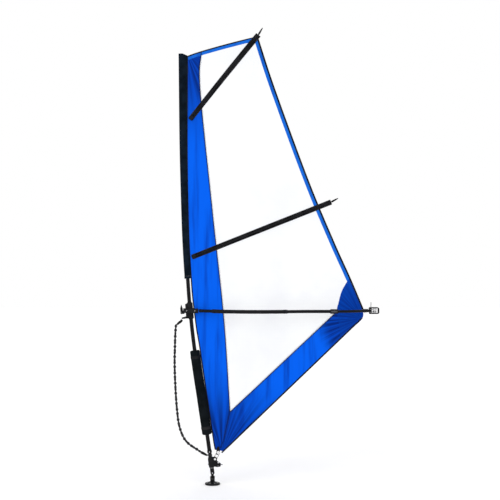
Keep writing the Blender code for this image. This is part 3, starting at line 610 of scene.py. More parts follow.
def moulded(name, low, high, rough=(0.36, 0.55), grain=420.0, strength=0.15):
    """Moulded plastic: a fine pebbled surface, with polished and dulled areas."""
    shade = Nodes(name)
    color = worn(shade, low, high, 22.0)
    shade.bump(shade.noise(grain, 2.0), strength, 0.0004)
    dull = shade.spread(shade.noise(14.0), 0.3, 0.7, *rough)
    return shade.set(Base_Color=color, Roughness=dull, Specular_IOR_Level=0.10)


def carbon():
    """Satin carbon composite, with wound fibres that show as faint slanting bands."""
    shade = Nodes("carbon")
    bands = shade.wave(26.0, "DIAGONAL", 0.6, (1, 1, 0.35))
    color = shade.mix(shade.spread(bands, 0.3, 0.7), (0.003, 0.003, 0.004), (0.007, 0.007, 0.009))
    rough = shade.spread(bands, 0.2, 0.8, 0.26, 0.38, smooth=False)
    shade.bump(bands, 0.05, 0.0004)
    shade.set(Specular_IOR_Level=0.08, Coat_Weight=0.03, Coat_Roughness=0.12)
    return shade.set(Base_Color=color, Roughness=rough)


def metal(name, low, high, rough, brushed=(1, 1, 14)):
    """Metal with fine turning or drawing marks."""
    shade = Nodes(name)
    grain = shade.noise(160.0, 3.0, brushed)
    color = shade.mix(shade.spread(grain, 0.35, 0.65), low, high)
    shade.bump(grain, 0.08, 0.0002)
    return shade.set(Base_Color=color, Metallic=1.0, Roughness=shade.spread(grain, 0.3, 0.7, *rough))


def foam(name, low, high):
    """Closed-cell foam: dull, with small open cells at its skin."""
    shade = Nodes(name)
    cells = shade.add("TexVoronoi", Vector=shade.coords, Scale=260.0)
    pits = shade.spread(cells.outputs["Distance"], 0.1, 0.6)
    color = shade.mix(shade.noise(16.0), low, high)
    shade.bump(pits, 0.25, 0.0006)
    rough = shade.spread(pits, 0, 1, 0.78, 0.92)
    return shade.set(Base_Color=color, Roughness=rough, Specular_IOR_Level=0.12)


def braid(name, low, high, pitch=150.0):
    """A braided cord: two sets of slanting strands that cross."""
    shade = Nodes(name)
    one = shade.wave(pitch, "DIAGONAL", 0.0, (1, 1, 1))
    two = shade.wave(pitch, "DIAGONAL", 0.0, (-1, 1, 1))
    strands = shade.math("MAXIMUM", one, two)
    color = shade.mix(shade.spread(strands, 0.2, 0.9), low, high)
    shade.bump(strands, 0.8, 0.0006)
    rough = shade.spread(strands, 0, 1, 0.9, 0.72)
    return shade.set(Base_Color=color, Roughness=rough, Specular_IOR_Level=0.12)


POLISHED_BLACK = ((0.2, 0.32), 300.0, 0.06)
POLISHED_WHITE = ((0.3, 0.42), 300.0, 0.06)

MATERIALS = {
    "carbon": carbon(),
    "black_plastic": moulded("black_plastic", (0.005, 0.005, 0.006), (0.010, 0.010, 0.012)),
    "gloss_plastic": moulded("gloss_plastic", (0.005, 0.005, 0.006), (0.009, 0.009, 0.011), *POLISHED_BLACK),
    "grey_plastic": moulded("grey_plastic", (0.055, 0.056, 0.060), (0.085, 0.086, 0.092)),
    "white_plastic": moulded("white_plastic", (0.72, 0.72, 0.73), (0.84, 0.84, 0.85), *POLISHED_WHITE),
    "rubber": moulded("rubber", (0.005, 0.005, 0.005), (0.011, 0.011, 0.011), (0.62, 0.8), 600.0, 0.3),
    "steel": metal("steel", (0.56, 0.56, 0.57), (0.70, 0.70, 0.71), (0.18, 0.34)),
    "alloy": metal("alloy", (0.009, 0.009, 0.010), (0.017, 0.017, 0.019), (0.28, 0.42), (14, 1, 1)),
    "foam": foam("foam", (0.006, 0.006, 0.007), (0.013, 0.013, 0.015)),
    "pad_cover": cloth("pad_cover", (0.0025, 0.0040, 0.0050), (0.0055, 0.0075, 0.0095)),
    "sleeve_cloth": cloth("sleeve_cloth", (0.0020, 0.0050, 0.0095), (0.0050, 0.0105, 0.0190)),
    "pocket_cloth": cloth("pocket_cloth", (0.006, 0.006, 0.007), (0.015, 0.015, 0.017)),
    "edge_tape": cloth("edge_tape", (0.003, 0.007, 0.022), (0.006, 0.014, 0.045)),
    "black_tape": cloth("black_tape", (0.006, 0.006, 0.008), (0.015, 0.016, 0.020)),
    "webbing": cloth("webbing", (0.008, 0.008, 0.009), (0.020, 0.020, 0.022), 90.0, strength=0.7),
    "blue": blue_sail(),
    "patch": blue_patch(),
    "hem": blue_hem(),
    "white": white_sail(),
    "rope": braid("rope", (0.004, 0.004, 0.005), (0.026, 0.026, 0.029)),
    "uphaul_cover": braid("uphaul_cover", (0.004, 0.004, 0.005), (0.028, 0.028, 0.031), 70.0),
    "dark_thread": cloth("dark_thread", (0.02, 0.03, 0.07), (0.03, 0.05, 0.11), 400.0),
    "pale_thread": cloth("pale_thread", (0.42, 0.44, 0.48), (0.60, 0.62, 0.66), 400.0),
    "grey_thread": cloth("grey_thread", (0.12, 0.12, 0.13), (0.20, 0.20, 0.21), 400.0),
}


# ---------------------------------------------------------------- camera, floor and light

def make_camera():
    data = bpy.data.cameras.new("camera")
    data.sensor_width = SENSOR
    data.lens = SENSOR * CAMERA_DISTANCE / PICTURE_SIDE
    data.clip_end = 100.0
    obj = placed("camera", data)
    obj.location = (CAMERA_AIM[0], -CAMERA_DISTANCE, CAMERA_AIM[1])
    obj.rotation_euler = (math.pi / 2, 0, 0)
    bpy.context.scene.camera = obj


def make_floor():
    shade = Nodes("floor")
    speck = shade.spread(shade.noise(1.5, 2.0), 0.3, 0.7)
    shade.set(Base_Color=shade.mix(speck, (0.925, 0.925, 0.93), (0.94, 0.94, 0.945)), Roughness=0.95)
    side = 30.0
    corners = [(-side, -side, 0), (side, -side, 0), (side, side, 0), (-side, side, 0)]
    floor = mesh_object("floor", [Vector(c) for c in corners], [(0, 1, 2, 3)], shade.mat)


def make_light(name, place, aim, spread, power):
    """A distant soft light, so that the floor is lit evenly out to the horizon."""
    data = bpy.data.lights.new(name, "SUN")
    data.angle = math.radians(spread)
    data.energy = power
    obj = placed(name, data)
    obj.location = place
    obj.rotation_euler = (Vector(aim) - Vector(place)).to_track_quat("-Z", "Y").to_euler()


def make_studio():
    make_camera()
    make_floor()
    make_light("key", (-4.5, -6.0, 6.0), (0.3, 0, 2.0), 40.0, 0.60)
    make_light("fill", (5.5, -6.5, 3.5), (0.3, 0, 1.8), 60.0, 0.20)
    make_light("rim", (1.5, 6.0, 6.0), (0.3, 0, 2.0), 50.0, 0.25)
    world = bpy.data.worlds.new("studio")
    world.use_nodes = True
    back = world.node_tree.nodes["Background"]
    back.inputs["Color"].default_value = (1, 1, 1, 1)
    back.inputs["Strength"].default_value = 1.0
    bpy.context.scene.world = world
    bpy.context.scene.view_settings.view_transform = "Standard"


# ---------------------------------------------------------------- the sail

LUFF_LINE = height_line(luff_x, LUFF_FOOT_Z, LUFF_HEAD_Z, 60)
SEAM_LINE = flat_line(SEAM_EDGE, 90)
PATCH_LINE = flat_line(PATCH_EDGE, 16)
LEECH_LINE = height_line(leech_x, PATCH_EDGE[-1][1], HEAD[1], 70)
PATCH_LEECH_FOOT_Z = 1.562
PATCH_LEECH = height_line(leech_x, PATCH_LEECH_FOOT_Z, PATCH_EDGE[-1][1], 16)
FOOT_LINE = flat_line([TACK, CLEW], 60)
BAND_LINE = flat_line([SEAM_EDGE[0], PATCH_EDGE[0]], 60)
HEAD_LINE = flat_line([LUFF_LINE[-1], SEAM_EDGE[-1], HEAD], 30)
PANEL_ROWS = 150


def sail_area(rows):
    total = 0.0
    for (a, b), (c, d) in zip(rows, rows[1:]):
        for p, q, r in ((a, b, d), (a, d, c)):
            total += abs((q[0] - p[0]) * (r[1] - p[1]) - (r[0] - p[0]) * (q[1] - p[1])) / 2
    return total


def luff_rows():
    luff = height_line(luff_x, LUFF_FOOT_Z, LUFF_HEAD_Z, PANEL_ROWS)
    return list(zip(luff, height_line(seam_x, SEAM_EDGE[0][1], SEAM_EDGE[-1][1], PANEL_ROWS)))


def window_rows():
    seam_edge = height_line(seam_x, SEAM_EDGE[0][1], SEAM_EDGE[-1][1], PANEL_ROWS)
    left = [(x - LAP, z - 0.3 * LAP) for x, z in seam_edge]
    right = [(x + 0.7 * LAP, z - 0.7 * LAP) for x, z in PATCH_LINE] + LEECH_LINE[1:]
    return list(zip(left, flat_line(right, PANEL_ROWS)))


def foot_rows():
    foot = [(luff_x(LUFF_FOOT_Z), LUFF_FOOT_Z)] + flat_line([TACK, CLEW], 80)[1:]
    band = flat_line([SEAM_EDGE[0], PATCH_EDGE[0]], 80)
    return list(zip(foot, band))


def patch_rows():
    """The clew's darker layers: from an arc on the sail to the leech, above and below the boom."""
    inner = flat_line([(1.150, 1.3055), (1.142, 1.420)] + PATCH_EDGE, 40)
    leech = [(1.346, 1.602), (1.300, 1.712), PATCH_EDGE[-1]]
    outer = flat_line([(1.160, 1.3151), (1.250, 1.4015), CLEW] + leech, 40)
    return list(zip(inner, outer))


def sheet_piece(name, rows, across, lift, mat, slot, *nodes, thickness=CLOTH):
    piece = slab(name, rows, across, thickness, lift, mat)
    finished(piece, "rig", slot, *nodes)
    return piece


def declare_sheet(rows):
    """Works out a panel's area, its length and its greatest width across, and keeps none of them."""
    area = sail_area(rows)
    length = max(line_length([a for a, b in rows]), line_length([b for a, b in rows]))
    width = max(math.dist(a, b) for a, b in rows)


def seam(name, line, tape_width=0.007):
    """A sewn seam: a dark tape on each face, with two rows of zigzag thread."""
    tape, thread = MATERIALS["edge_tape"], MATERIALS["dark_thread"]
    half = tape_width / 2
    parts = []
    for face in (-1, 1):
        parts.append(strip("seam_tape", line, 1, -half, half, SEAM_TAPE, face * SEAM_LIFT, tape))
        for offset in (-SEAM_STITCH, SEAM_STITCH):
            parts.append(stitching("seam_thread", line, offset, face, SEAM_LIFT + SEAM_TAPE / 2, thread))
    return finished(joined(name, parts), "rig", "sail_blue")


def edge_band(name, line, side, inward, outward, half_thick, mat):
    """A hem or tape folded round the sail's edge. Rounded on its outer side."""
    normals = inward_normals(line, side)
    profile = [(inward, -0.6), (inward * 0.9, -1.0), (0.0, -1.0), (-outward * 0.8, -0.55), (-outward, 0.0)]
    profile += [(-outward * 0.8, 0.55), (0.0, 1.0), (inward * 0.9, 1.0), (inward, 0.6)]
    verts = []
    for (x, z), (nx, nz) in zip(line, normals):
        for off, height in profile:
            px, pz = x + nx * off, z + nz * off
            verts.append((px, sail_y(px, pz) + height * half_thick, pz))
    obj = mesh_object(name, verts, tube_faces(len(line), len(profile)), mat, 60)
    return finished(obj, "rig", "sail_blue")


def make_sail():
    sail_mat, hem_mat, black = MATERIALS["blue"], MATERIALS["hem"], MATERIALS["black_tape"]
    window, luff, foot, patch = window_rows(), luff_rows(), foot_rows(), patch_rows()
    body = sheet_piece("sail_white", window, 46, 0.0005, MATERIALS["white"], "sail_film", "sail_window")
    blue = sheet_piece("sail_luff_blue", luff, 14, -0.0005, sail_mat, "sail_blue", "sail_luff_panel")
    band = sheet_piece("sail_foot_blue", foot, 16, -0.0005, sail_mat, "sail_blue", "sail_foot_panel")
    clew = sheet_piece("sail_clew_layers", patch, 16, 0.0, MATERIALS["patch"], "sail_blue", "sail_clew_patch",
                       thickness=CLEW_LAYERS)
    luff_seam = seam("luff_seam", SEAM_LINE)
    foot_seam = seam("foot_seam", BAND_LINE)
    tack_line = flat_line([SEAM_LINE[0], (0.130, 0.540), (0.098, 0.400), (0.074, 0.330)], 30)
    tack_seam = seam("tack_seam", tack_line, 0.004)
    hem = edge_band("leech_hem", PATCH_LEECH[13:-1] + LEECH_LINE, 1, 0.038, 0.0, 0.0013, hem_mat)
    tape = edge_band("leech_tape", PATCH_LEECH[:-1] + LEECH_LINE, 1, 0.011, 0.0045, 0.0026, black)
    head_hem = edge_band("head_hem", HEAD_LINE, -1, 0.034, 0.0, 0.0016, hem_mat)
    head_tape = edge_band("head_tape", HEAD_LINE, -1, 0.008, 0.0040, 0.0026, black)
    foot_tape = edge_band("foot_tape", FOOT_LINE, 1, 0.010, 0.0035, 0.0026, black)
    luff_tape = edge_band("luff_tape", LUFF_LINE, -1, 0.008, 0.0030, 0.0034, black)
    declare_sheet(window)
    declare_sheet(luff)
    declare_sheet(foot)
    declare_sheet(patch)


# ---------------------------------------------------------------- battens

def pocket_line(name, share):
    (ax, az), (bx, bz) = BATTENS[name]
    return ax + (bx - ax) * share, az + (bz - az) * share


def make_pocket(name):
    """A stitched fabric pocket: flat flanges, raised over the batten, with a strip on the far face."""
    narrow, wide = POCKET_HALF_WIDTHS[name]
    count = 90
    centre = [pocket_line(name, share) for share in even(0, 1, count)]
    normals = inward_normals(centre, 1)
    shape = [(-1.0, 0.0009), (-0.99, 0.0021), (-0.62, 0.0024), (-0.40, 0.0065)]
    shape += [(-0.22, POCKET_RISE), (0.0, POCKET_RISE + 0.0012)]
    shape += [(-u, h) for u, h in reversed(shape[:-1])]
    verts = []
    for i, ((x, z), (nx, nz)) in enumerate(zip(centre, normals)):
        half = narrow + (wide - narrow) * i / count
        for u, h in shape:
            off = u * (half if abs(u) > 0.5 else POCKET_RAISED_HALF)
            px, pz = x + nx * off, z + nz * off
            ripple = 0.0004 * noise.noise(Vector((i * 0.35, u * 2, 7.0)))
            verts.append((px, sail_y(px, pz) - h - ripple, pz))
    faces = tube_faces(count + 1, len(shape))
    fabric, thread = MATERIALS["pocket_cloth"], MATERIALS["grey_thread"]
    edge = 0.5 * (narrow + wide)
    parts = [mesh_object(f"pocket_{name}", verts, faces, fabric, 50)]
    parts.append(strip("far_strip", centre, 1, -edge, edge, 0.0012, 0.0018, fabric, 4))
    for off in (-edge + POCKET_HEM, edge - POCKET_HEM):
        for face, lift in ((-1, 0.0030), (1, 0.0027)):
            parts.append(stitching("pocket_thread", centre, off, face, lift, thread, 0.005, 0.0012))
    finished(joined(f"batten_pocket_{name}_cloth", parts), "rig", "sleeve_black", f"batten_pocket_{name}")


def make_pocket_end(name):
    """The moulded cap over a pocket's luff end."""
    x, z = pocket_line(name, 0.012)
    (ax, az), (bx, bz) = BATTENS[name]
    angle = math.atan2(bz - az, bx - ax)
    bm = bmesh.new()
    bmesh.ops.create_cube(bm, size=1.0, matrix=Matrix.Diagonal((0.040, 0.0150, 0.036, 1)))
    bmesh.ops.bevel(bm, geom=bm.edges[:], offset=0.0045, segments=4, affect="EDGES", profile=0.5)
    mesh = mesh_from(f"batten_cap_{name}", bm)
    mesh.transform(Matrix.Translation((x, sail_y(x, z) - 0.0075, z)) @ Matrix.Rotation(-angle, 4, "Y"))
    mesh.materials.append(MATERIALS["black_plastic"])
    mesh.shade_smooth()
    finished(placed(f"batten_cap_{name}", mesh), "rig", "moulded_black")


# ---------------------------------------------------------------- mast, sleeve and pad

def mast_points(low, high, count):
    return [Vector((mast_x(z), 0, z)) for z in even(low, high, count)]


def make_mast():
    for name, low, high in (
        ("mast_bottom", MAST_FOOT_Z, MAST_JOIN_Z - MAST_JOIN_GAP),
        ("mast_top", MAST_JOIN_Z, MAST_HEAD_Z),
    ):
        rows = mast_points(low, high, 60)
        outer = [mast_radius(p.z) for p in rows]
        inner = [r - MAST_WALL for r in outer]
        tube_piece = hollow_tube(f"{name}_tube", rows, outer, inner, MATERIALS["carbon"])
        finished(tube_piece, "rig", "carbon_black", name)


def sleeve_creases(height, turn):
    """Folds that run down the sleeve and pucker at its seams."""
    long_fold = noise.noise(Vector((math.cos(turn) * 1.4, math.sin(turn) * 1.4, height * 2.2)))
    pucker = noise.noise(Vector((math.cos(turn) * 2.5, math.sin(turn) * 2.5, height * 22.0)))
    return 0.0022 * long_fold + 0.0009 * pucker


def sleeve_pinch(c):
    """The share of its thickness that the sleeve keeps, less towards its back, where c is 1."""
    return 1.0 if c < 0.2 else 1 - 0.75 * ((c - 0.2) / 0.8) ** 1.5


def make_sleeve():
    """The luff sleeve: a lens-shaped tube of black cloth, with a hem at its foot and a sloping head."""
    count, sides = 220, 56
    rows = mast_points(SLEEVE_FOOT_Z, SLEEVE_HEAD_Z, count)
    verts = []
    for point, (side, over) in zip(rows, frames(rows)):
        z = point.z
        thick = mast_radius(min(z, MAST_HEAD_Z)) + SLEEVE_ROOM
        front = sleeve_front(z)
        back = luff_setback(z) + SLEEVE_BACK_ROOM
        hem = 0.0012 * fade(z - SLEEVE_FOOT_Z, 0.024, 0.028)
        close = 1 - 0.55 * fade(SLEEVE_HEAD_Z - z, 0.0, 0.030)
        for turn in circle(sides):
            c, s = math.cos(turn), math.sin(turn)
            reach = back if c > 0 else front
            crease = sleeve_creases(z, turn) * (1 - abs(c) ** 6)
            u = reach * c
            v = ((thick + crease + hem) * sleeve_pinch(c)) * s * close
            slope = -0.020 * max(0.0, c) * fade(SLEEVE_HEAD_Z - z, 0.0, 0.10)
            verts.append(point + side * (u + hem * c + 0.4 * crease * c) + over * v + Vector((0, 0, slope)))
    sleeve = mesh_object("sleeve_skin", verts, tube_faces(count + 1, sides), MATERIALS["sleeve_cloth"], 50)
    threads = []
    for height in (0.020, 0.026):
        threads.append(ring_thread(SLEEVE_FOOT_Z + height, MATERIALS["grey_thread"]))
    piece = joined("luff_sleeve_cloth", [sleeve] + threads)
    finished(piece, "rig", "sleeve_black", "luff_sleeve")


def ring_thread(z, mat):
    """A row of zigzag thread round the sleeve's hem."""
    centre = Vector((mast_x(z), 0, z))
    sides = 44
    path = []
    for k in range(sides + 1):
        turn = 2 * math.pi * k / sides
        c, s = math.cos(turn), math.sin(turn)
        reach = (luff_setback(z) + SLEEVE_BACK_ROOM if c > 0 else sleeve_front(z)) + 0.0012
        thick = (mast_radius(z) + SLEEVE_ROOM + 0.0022) * sleeve_pinch(c)
        path.append(centre + Vector((reach * c, thick * s, 0.0012 if k % 2 else -0.0012)))
    return tube("hem_thread", path, round_section(0.0005), mat, sides=5, across=(0, 0, 1), angle=180)


def make_pad():
    """The mast pad: a foam tube in a stitched cover, with a lapped closure along its far side."""
    count, sides = 120, 64
    rows = mast_points(PAD_FOOT_Z, PAD_HEAD_Z, count)
    verts = []
    for point, (side, over) in zip(rows, frames(rows)):
        z = point.z
        end = min(z - PAD_FOOT_Z, PAD_HEAD_Z - z)
        round_off = 1 - 0.16 * (1 - min(1.0, end / 0.010)) ** 2
        groove = 0.0016 * math.exp(-(((end - 0.022) / 0.0025) ** 2))
        for turn in circle(sides):
            soft = 0.0014 * noise.noise(Vector((math.cos(turn) * 1.6, math.sin(turn) * 1.6, z * 6.0)))
            rib = 0.0005 * math.cos(18 * turn)
            lap = 0.0018 if 0.18 < (turn / (2 * math.pi)) < 0.30 else 0.0
            r = PAD_RADIUS * round_off + soft + rib + lap - groove
            verts.append(point + side * (r * math.cos(turn)) + over * (r * math.sin(turn)))
    pad = mesh_object("mast_pad_cover", verts, tube_faces(count + 1, sides), MATERIALS["pad_cover"], 45)
    finished(pad, "rig", "pad_foam", "mast_pad")
    for label, z in (("foot", PAD_FOOT_Z + 0.060), ("head", PAD_HEAD_Z - 0.060)):
        points = mast_points(z - 0.0125, z + 0.0125, 6)
        radii = [PAD_RADIUS + 0.0026 - 0.0012 * abs(k - 3) / 3 for k in range(7)]
        strap = tube(f"pad_strap_{label}", points, round_section(radii), MATERIALS["webbing"], 48)
        finished(strap, "rig", "pad_foam")


# ---------------------------------------------------------------- ropes

def make_uphaul():
    """The uphaul: cord inside a gathered elastic cover, whose bulges wind along it."""
    count, sides = 760, 18
    path = smooth_curve(UPHAUL_ROUTE, count)
    length = sum((b - a).length for a, b in zip(path, path[1:]))
    base = UPHAUL_DIAMETER / 2

    def section(i, angle):
        s = length * i / count
        bulge = 0.20 * math.sin(2 * math.pi * s / 0.047 + 0.8 * noise.noise(Vector((s * 9, 0, 0))))
        wind = 0.22 * math.sin(2 * angle - 2 * math.pi * s / 0.030)
        gather = 0.07 * math.sin(2 * math.pi * s / 0.0062 + 3 * angle)
        ends = min(1.0, 0.55 + min(s, length - s) / 0.02)
        r = base * (0.98 + bulge + wind + gather) * ends
        return r * math.cos(angle), r * math.sin(angle)

    rope = tube("uphaul_rope", path, section, MATERIALS["uphaul_cover"], sides, angle=70)
    finished(rope, "rig", "rope_black", "uphaul_line")
    make_uphaul_ends()


def rounded(node, width):
    """A copy of a CAD node's shape with its sharp edges rounded."""
    bm = bmesh.new()
    bm.from_mesh(NODES[node].data)
    bmesh.ops.remove_doubles(bm, verts=bm.verts, dist=1e-6)
    bmesh.ops.dissolve_limit(bm, angle_limit=math.radians(1.5), verts=bm.verts, edges=bm.edges)
    sharp = [e for e in bm.edges if len(e.link_faces) == 2 and e.calc_face_angle(0) > math.radians(28)]
    bmesh.ops.bevel(bm, geom=sharp, offset=width, segments=3, affect="EDGES", profile=0.5,
                    clamp_overlap=True)
    bmesh.ops.triangulate(bm, faces=[f for f in bm.faces if len(f.verts) > 4])
    mesh = mesh_from(f"{node}_shape", bm)
    if "custom_normal" in mesh.attributes:
        mesh.attributes.remove(mesh.attributes["custom_normal"])
    mesh.shade_smooth()
    mesh.set_sharp_from_angle(angle=math.radians(38))
    return placed(f"{node}_shape", mesh)


def rope_tube(name, points, radius, mat, sides=16):
    """A braided cord along points: its section is carried along without twist."""
    last = len(points) - 1
    side = Vector((0.31, 0.92, 0.24))
    run = 0.0
    verts = []
    for i, point in enumerate(points):
        along = (points[min(i + 1, last)] - points[max(i - 1, 0)]).normalized()
        side = (side - along * side.dot(along)).normalized()
        over = along.cross(side)
        run += (point - points[max(i - 1, 0)]).length
        for turn in circle(sides):
            lay = run / (1.1 * radius)
            plait = 1 + 0.05 * math.sin(4 * turn + lay) * math.sin(4 * turn - lay)
            verts.append(point + radius * plait * (side * math.cos(turn) + over * math.sin(turn)))
    return mesh_object(name, verts, tube_faces(last + 1, sides), mat, 60)


def turned(name, profile, place, axis, mat, sides=40, bored=False, angle=35):
    """A round piece: (radius, height) points turned about an axis through place."""
    turn = Vector(axis).to_track_quat("Z", "Y").to_matrix()
    verts = []
    for radius, height in profile:
        for a in circle(sides):
            spot = turn @ Vector((radius * math.cos(a), radius * math.sin(a), height))
            verts.append(Vector(place) + spot)
    faces = tube_faces(len(profile), sides, caps=not bored)
    if bored:
        base = (len(profile) - 1) * sides
        for k in range(sides):
            nxt = (k + 1) % sides
            faces.append((base + k, base + nxt, nxt, k))
    return mesh_object(name, verts, faces, mat, angle)


def screw(place, axis, r):
    """A round-headed socket screw of head radius r."""
    profile = [(r, -0.0010), (r, 0.45 * r), (0.85 * r, 0.7 * r), (0.50 * r, 0.75 * r)]
    profile += [(0.45 * r, 0.2 * r), (0.04 * r, 0.2 * r)]
    return turned("screw", profile, place, axis, MATERIALS["steel"], 20)


def knot(centre, size, radius, mat, turn=(0, 0, 0)):
    """A pulled-tight overhand knot."""
    spin = Euler(turn).to_matrix()
    points = []
    for k in range(61):
        t = 2 * math.pi * (0.03 + 0.94 * k / 60)
        x = math.sin(t) + 2 * math.sin(2 * t)
        y = math.cos(t) - 2 * math.cos(2 * t)
        points.append(Vector(centre) + spin @ (Vector((x, y, -1.3 * math.sin(3 * t))) * size / 3))
    return rope_tube("knot", points, radius, mat, 12)


# ---------------------------------------------------------------- uphaul ends, downhaul, outhaul

UPHAUL_GRIP = [(x, 0.0, z) for x, z in (
    (-0.2745, 1.4825), (-0.2840, 1.4680), (-0.3030, 1.4540), (-0.3190, 1.4380),
)]
RAKE = -math.atan2(0.054, 0.384)
MAST_PIVOT_Z = 0.106
SHEAVE_PLACE = (0.040, 0.119)
ROLLER_PLACE = (0.052, 0.288)
CAP_HALF_WIDTH = 0.0006
SHEAVE_RADIUS = 0.0140
SHEAVE_OFFSET = 0.0046
SHEAVE_HALF_WIDTH = 0.0040
SHEAVE_BORE = 0.0031
ROLLER_RADIUS = 0.0135
ROPE_BEND_RADIUS = 0.0140
CLEAT_ROPE = [(0.0903, 0.0643), (0.0603, 0.0943)]
TAIL_SHEAVE_RADIUS = 0.0190
TAIL_SHEAVE_X = 1.458
TAIL_SHEAVE_OFFSET = 0.0105
TAIL_SHEAVE_HALF = 0.0100
TAIL_SHEAVE_BORE = 0.0033
CLEW_RING = (1.374, 1.556)
OUTHAUL_SPLIT_X = 1.412
LOOSE_END = [(1.4265, 0.006, 1.590), (1.4262, 0.0055, 1.604), (1.4270, 0.005, 1.620), (1.4268, 0.0055, 1.640)]
LOOSE_END_RADIUS = 0.0024


def raked(x, y, z):
    """A point of the raked frame of the mast's foot (across, near to far, along), in the world."""
    s, c = math.sin(-RAKE), math.cos(-RAKE)
    return Vector((x * c - z * s, y, MAST_PIVOT_Z + x * s + z * c))


RAKE_AXIS = (raked(0, 0, 1) - raked(0, 0, 0)).normalized()
RAKE_SIDE = (raked(1, 0, 0) - raked(0, 0, 0)).normalized()

# Each axle cap's centre on the far side, its radius and its bore.
CAPS = {
    "tack_cap": ((ROLLER_PLACE[0], 0.0079, ROLLER_PLACE[1]), 0.0140, 0.0032),
    "sheave_cap": (tuple(raked(SHEAVE_PLACE[0], 0.0144, SHEAVE_PLACE[1])), 0.0095, 0.0012),
}


def ribbed(name, points, radii, ribs, depth):
    """A rubber sleeve with rings round it."""
    count = len(points) - 1

    def section(i, angle):
        share = i / count
        at = share * (len(radii) - 1)
        low = min(int(at), len(radii) - 2)
        r = radii[low] + (radii[low + 1] - radii[low]) * (at - low)
        r -= depth * (0.5 + 0.5 * math.cos(2 * math.pi * ribs * share)) * min(1, 6 * share * (1 - share))
        return r * math.cos(angle), r * math.sin(angle)

    return tube(name, points, section, MATERIALS["rubber"], 28, angle=60)


def make_uphaul_ends():
    """The moulded sleeve under the clamp and the toggle at the mast's foot."""
    grip = ribbed("uphaul_sleeve", smooth_curve(UPHAUL_GRIP, 60),
                  [0.0100, 0.0115, 0.0125, 0.0125, 0.0115, 0.0105, 0.0085], 7, 0.0012)
    finished(grip, "rig", "rubber_black", "uphaul_grip")
    end, far = Vector(UPHAUL_ROUTE[-1]), Vector((-0.0440, 0.0, 0.2600))
    start = end + (far - end).normalized() * 0.0018
    points = [start.lerp(far, k / 50) for k in range(51)]
    toggle = ribbed("uphaul_hook", points, [0.0105, 0.0125, 0.0130, 0.0120, 0.0110, 0.0090, 0.0060], 5,
                    0.0010)
    finished(toggle, "rig", "rubber_black", "uphaul_toggle")
    return [grip, toggle]


def wrap(centre, radius, start, end, y):
    """Rope points round a sheave, between two angles in degrees from +X towards +Z."""
    turns = [math.radians(degrees) for degrees in even(start, end, 7)]
    return [(centre[0] + radius * math.cos(a), y, centre[1] + radius * math.sin(a)) for a in turns]


def make_downhaul():
    """From the cleat round the near sheave, over the tack roller and down to the far sheave."""
    y, r = SHEAVE_OFFSET, ROPE_BEND_RADIUS
    foot = raked(SHEAVE_PLACE[0], 0, SHEAVE_PLACE[1])
    low = (foot.x, foot.z)
    middle = [(low[0] + ROLLER_PLACE[0]) / 2, (low[1] + ROLLER_PLACE[1]) / 2]
    side = (0.9 * r, -0.45 * r)
    route = [tuple(raked(x, -y, z)) for x, z in CLEAT_ROPE]
    route += wrap(low, r, -115, -206, -y)
    route += [(middle[0] - side[0], -0.2 * y, middle[1] - side[1])]
    route += wrap(ROLLER_PLACE, r, 154, -26, 0)
    route += [(middle[0] + side[0], 0.2 * y, middle[1] + side[1])]
    route += wrap(low, r, -26, -150, y)
    rope = rope_tube("downhaul_run", smooth_curve(route, 260), ROPE_DIAMETER / 2, MATERIALS["rope"])
    stop = knot(raked(0.0945, -y, 0.0600), 0.0042, 0.0019, MATERIALS["rope"])
    finished(joined("downhaul_rope", [rope, stop]), "rig", "rope_black", "downhaul_line")


def outhaul_route():
    """From the upper sheave to the clew's ring and back to the lower sheave."""
    r = TAIL_SHEAVE_RADIUS - 0.003 + ROPE_DIAMETER / 2 + 0.0004
    x, z = CLEW_RING
    up, down = BOOM_Z + TAIL_SHEAVE_OFFSET, BOOM_Z - TAIL_SHEAVE_OFFSET
    arc = [math.radians(10 + 20 * k) for k in range(5)]
    route = [(TAIL_SHEAVE_X + r * math.cos(a), r * math.sin(a), up) for a in arc]
    route += [(1.420, 0.0150, up - 0.002), (1.390, 0.0090, z + 0.006), (x - 0.003, 0.0, z)]
    route += [(1.390, -0.0090, z - 0.004), (1.420, -0.0150, down + 0.001)]
    route += [(TAIL_SHEAVE_X + r * math.cos(a), -r * math.sin(a), down) for a in reversed(arc)]
    return smooth_curve(route, 300)


def make_outhaul():
    """One line in two pieces, split between the clew and the tail, because each crosses a joint."""
    path = outhaul_route()
    near = [i for i, p in enumerate(path) if p.x <= OUTHAUL_SPLIT_X]
    first, last = near[0], near[-1]
    radius, mat = ROPE_DIAMETER / 2, MATERIALS["rope"]
    clew = rope_tube("outhaul_at_clew", path[first : last + 1], radius, mat)
    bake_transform(clew)
    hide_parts("outhaul_line")
    upper = rope_tube("upper_run", path[: first + 1], radius, mat)
    lower = rope_tube("lower_run", path[last:], radius, mat)
    tail = joined("outhaul_at_tail", [upper, lower])
    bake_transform(tail)
    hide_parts("outhaul_line")
    loose = rope_tube("loose_end", smooth_curve(LOOSE_END, 40), LOOSE_END_RADIUS, mat, 10)
    tied = knot((1.4265, 0.006, 1.5925), 0.0030, 0.0012, mat, (0.6, 0, 0))
    finished(joined("outhaul_loose_end", [loose, tied]), "boom_tail", "rope_black")


# ---------------------------------------------------------------- the boom

